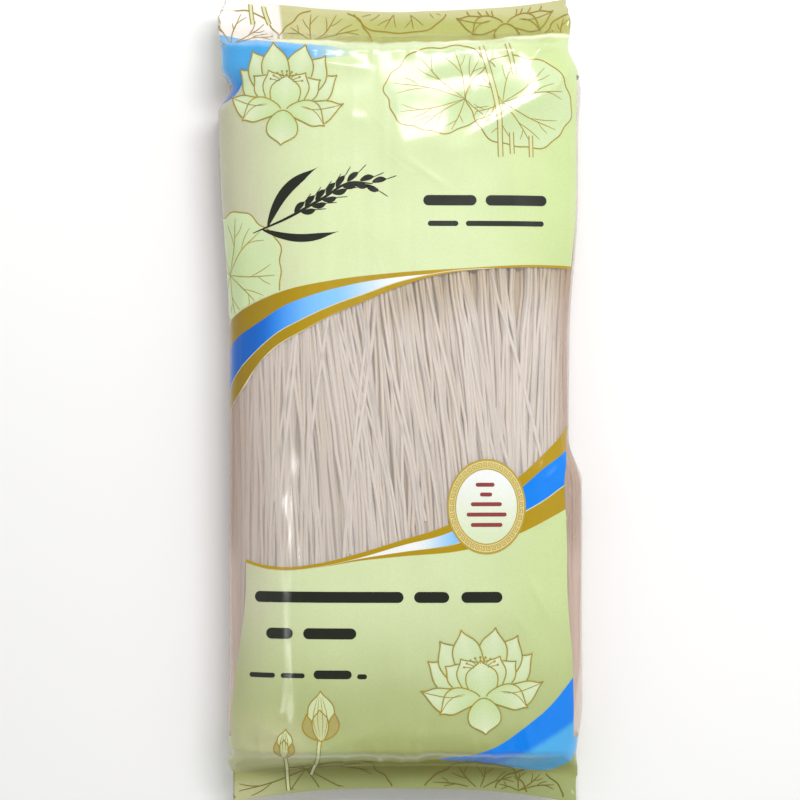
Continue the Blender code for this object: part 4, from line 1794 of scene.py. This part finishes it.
# The oval roundel: its centre and radii in mm, the key pattern's corners as shares of one key's
# room along and across the border, and its bars, placed from its centre.
ROUNDEL_CENTRE = (28.3, -35.0)
ROUNDEL_RADII = (13.0, 15.7)
KEYS = 40
KEY = ((0.0, 0.0), (0.0, 1.0), (0.74, 1.0), (0.74, 0.34), (0.36, 0.34), (0.36, 0.68))
ROUNDEL_BARS = ((-3.6, 7.2, 6.2, 1.3), (-2.2, 4.0, 4.0, 1.3), (-5.2, 0.8, 10.2, 1.3), (-6.6, -2.6, 13.2, 1.3),
                (-5.2, -6.0, 10.4, 1.3))


def roundel_places(share, angle):
    """Places on the roundel at a share of its radii."""
    share, angle = np.broadcast_arrays(share, angle)
    x, y = ROUNDEL_RADII
    return np.stack((x * share * np.cos(angle), y * share * np.sin(angle)), axis=-1) + ROUNDEL_CENTRE


class NOODLEBAG_OT_roundel(bpy.types.Operator):
    """Print the oval roundel with its key border"""

    bl_idname = "noodle_bag.roundel"
    bl_label = "Printed roundel"

    def execute(self, context):
        colours = context.scene.noodle_bag_print
        across, along = ROUNDEL_CENTRE
        ink = InkSheets()
        angle = np.linspace(0, 2 * np.pi, 121)[None, :]
        disc = roundel_places(np.linspace(0, 1, 24)[:, None], angle)
        ink.sheet(disc, 1, 0, np.clip(0.5 - 0.6 * (disc[..., 1] - along) / 12, 0, 1))
        for inner, outer, slot in ((0.955, 1.0, 0), (0.80, 0.955, 2), (0.775, 0.80, 0)):
            ink.sheet(roundel_places(np.linspace(inner, outer, 4)[:, None], angle), slot, 3)
        places = np.array(KEY)
        for k in range(KEYS):
            turn = 2 * np.pi * (k + 0.86 * places[:, 0]) / KEYS
            corners = roundel_places(0.832 + 0.088 * places[:, 1], turn)
            for start, end in zip(corners, corners[1:]):
                ink.line([start, end], 0.24, 6)
            foot = 2 * np.pi * (k + np.array((0.0, 0.5, 1.0))) / KEYS
            ink.line(roundel_places(0.832, foot), 0.20, 6)
        for left, middle, length, height in ROUNDEL_BARS:
            draw_bar(ink, across + left, along + middle, length, height, 3, 5.0)
        ink.piece("print_roundel", [
            ink_material("roundel_gold", colours.roundel_gold),
            ink_material("roundel_face", colours.white, colours.petal_pale),
            ink_material("roundel_band", colours.gold_pale),
            ink_material("maroon_ink", colours.maroon),
        ])
        return {"FINISHED"}


class NOODLEBAG_OT_back_fin(bpy.types.Operator):
    """Fold the long back seal flat under the bag"""

    bl_idname = "noodle_bag.back_fin"
    bl_label = "Back fin"

    STATIONS = 160
    STEPS = 12
    END = 0.1225

    def execute(self, context):
        settings = context.scene.noodle_bag_film
        y = np.linspace(-self.END, self.END, self.STATIONS)[:, None] * np.ones((1, self.STEPS + 1))
        (_, _, _, back_right), _ = SKIN.girth(y)
        share = np.linspace(0, 1, self.STEPS + 1)[None, :]
        s = 2.0 - share * settings.fin_width / back_right
        base, out = SKIN.point(s, y), SKIN.normal(np.minimum(s, 1.98), y, 0.003)
        wave = 0.00004 * np.sin(y / 0.004 + 3 * share)
        outer = base + out * (0.00008 + settings.fin_thickness + wave * share)[..., None]
        inner = base + out * 0.00005
        outer[..., 2] = np.maximum(outer[..., 2], 0.00012)
        inner[..., 2] = np.maximum(inner[..., 2], 0.00030)
        number = np.arange(y.size).reshape(y.shape)
        quads = grid_quads(number)[:, [0, 3, 2, 1]]
        rim = np.concatenate((number[0, :-1], number[:-1, -1], number[-1, :0:-1], number[:0:-1, 0]))
        ahead = np.roll(rim, -1)
        sides = np.stack((rim, rim + y.size, ahead + y.size, ahead), -1)
        faces = np.concatenate((quads, quads[:, ::-1] + y.size, sides))
        mesh = bpy.data.meshes.new("back_fin")
        mesh.from_pydata(np.concatenate((outer, inner)).reshape(-1, 3).tolist(), [], faces.tolist())
        places = np.stack((SKIN.to_flat(s, y), base[..., 1]), axis=-1).reshape(-1, 2) / MM
        lay_flat(mesh, places[faces % y.size])
        with edited(mesh) as bm:
            bmesh.ops.recalc_face_normals(bm, faces=bm.faces[:])
        material = print_material("fin_print", context.scene.noodle_bag_print, plain_fields)
        finish_piece("back_fin", mesh, [material])
        return {"FINISHED"}


# ------------------------------------------------------------------ operators: the stage
# Lamps: name, place, shape, the point of the floor it faces, size, and its share of the power
# that the setting named last gives.
LAMPS = (
    ("key", (0.55, 0.62, 1.05), "RECTANGLE", (0.0, 0.0), (0.8, 0.8), 1.0, "key_light"),
    ("streak_left", (-0.315, -0.105, 0.7), "RECTANGLE", (-0.315, -0.105), (0.014, 0.045), 0.06,
     "streak_light"),
    ("patch_head", (0.02, 0.25, 0.78), "ELLIPSE", (0.02, 0.25), (0.26, 0.11), 1.2, "streak_light"),
    ("streak_head", (0.27, 0.335, 0.78), "ELLIPSE", (0.27, 0.335), (0.46, 0.14), 4.0, "streak_light"),
)
FLOOR_REACH = 4.0
SENSOR = 36.0          # camera sensor's width in mm
FACE_HEIGHT = 0.022    # height at which the view is VIEW_WIDTH wide
VIEW_WIDTH = 0.8 / 3


class NOODLEBAG_OT_stage(bpy.types.Operator):
    """Make the pale floor, the soft lights and the camera above the bag"""

    bl_idname = "noodle_bag.stage"
    bl_label = "Stage"

    def execute(self, context):
        scene, settings = context.scene, context.scene.noodle_bag_stage
        scene.view_settings.view_transform = "Standard"
        self.floor(settings)
        self.world(scene, settings)
        for name, place, shape, target, size, share, setting in LAMPS:
            lamp = bpy.data.lights.new(name, "AREA")
            lamp.shape = shape
            lamp.size, lamp.size_y = size
            lamp.energy = getattr(settings, setting) * share
            obj = new_object(name, lamp)
            obj.location = place
            obj.rotation_euler = (Vector((*target, 0.0)) - Vector(place)).to_track_quat("-Z", "Y").to_euler()
        camera = bpy.data.cameras.new("camera")
        camera.sensor_width = SENSOR
        camera.lens = SENSOR * (settings.camera_height - FACE_HEIGHT) / VIEW_WIDTH
        camera.clip_start, camera.clip_end = 0.01, 10.0
        scene.camera = new_object("camera", camera)
        scene.camera.location = (0.0, 0.0, settings.camera_height)
        return {"FINISHED"}

    def floor(self, settings):
        mesh = bpy.data.meshes.new("floor")
        corners = [(x * FLOOR_REACH, y * FLOOR_REACH, 0.0) for x, y in ((-1, -1), (1, -1), (1, 1), (-1, 1))]
        mesh.from_pydata(corners, [], [(0, 1, 2, 3)])
        material, graph, shader = start_material("pale_floor")
        tone = graph.blend(graph.noise(graph.place(), 3.0), 0.3, 0.7, 0.97, 1.0)
        graph.feed(shader, {
            "Base Color": graph.mix(1.0, settings.floor, graph.grey(tone), "MULTIPLY"),
            "Roughness": 0.7,
            "Specular IOR Level": 0.2,
        })
        mesh.materials.append(material)
        new_object("floor", mesh)

    def world(self, scene, settings):
        """Even room light, dimmer straight overhead."""
        world = bpy.data.worlds.new("room")
        world.use_nodes = True
        graph = Graph(world.node_tree)
        direction = graph.add("ShaderNodeTexCoord").outputs["Generated"]
        upward = graph.add("ShaderNodeSeparateXYZ", {0: direction}).outputs[2]
        bright, dim = (1.0, 0.995, 0.985, 1.0), (0.34, 0.34, 0.34, 1.0)
        graph.feed(world.node_tree.nodes["Background"], {
            "Color": graph.mix(graph.blend(upward, 0.80, 0.97), bright, dim),
            "Strength": settings.room_light,
        })
        scene.world = world


class NOODLEBAG_PT_panel(bpy.types.Panel):
    """Lists the bag's pieces and their settings"""

    bl_idname = "NOODLEBAG_PT_panel"
    bl_label = "Noodle bag"
    bl_space_type = "VIEW_3D"
    bl_region_type = "UI"
    bl_category = "Noodle bag"

    def draw(self, context):
        for operator in OPERATORS:
            self.layout.operator(operator.bl_idname)
        for name, kind in SETTINGS.items():
            box = self.layout.box()
            for setting in kind.__annotations__:
                box.prop(getattr(context.scene, name), setting)


OPERATORS = (
    NOODLEBAG_OT_core,
    NOODLEBAG_OT_strands,
    NOODLEBAG_OT_printed_film,
    NOODLEBAG_OT_clear_film,
    NOODLEBAG_OT_back_fin,
    NOODLEBAG_OT_flowers,
    NOODLEBAG_OT_leaves,
    NOODLEBAG_OT_sprig,
    NOODLEBAG_OT_bars,
    NOODLEBAG_OT_roundel,
    NOODLEBAG_OT_stage,
)
SETTINGS = {
    "noodle_bag_film": FilmSettings,
    "noodle_bag_print": PrintSettings,
    "noodle_bag_noodles": NoodleSettings,
    "noodle_bag_stage": StageSettings,
}


def register():
    for kind in (*SETTINGS.values(), *OPERATORS, NOODLEBAG_PT_panel):
        bpy.utils.register_class(kind)
    for name, kind in SETTINGS.items():
        setattr(bpy.types.Scene, name, PointerProperty(type=kind))


def unregister():
    for name in SETTINGS:
        delattr(bpy.types.Scene, name)
    for kind in reversed((*SETTINGS.values(), *OPERATORS, NOODLEBAG_PT_panel)):
        bpy.utils.unregister_class(kind)


def main():
    register()
    for operator in OPERATORS:
        getattr(bpy.ops.noodle_bag, operator.bl_idname.split(".")[1])()
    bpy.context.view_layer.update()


if __name__ == "__main__":
    main()
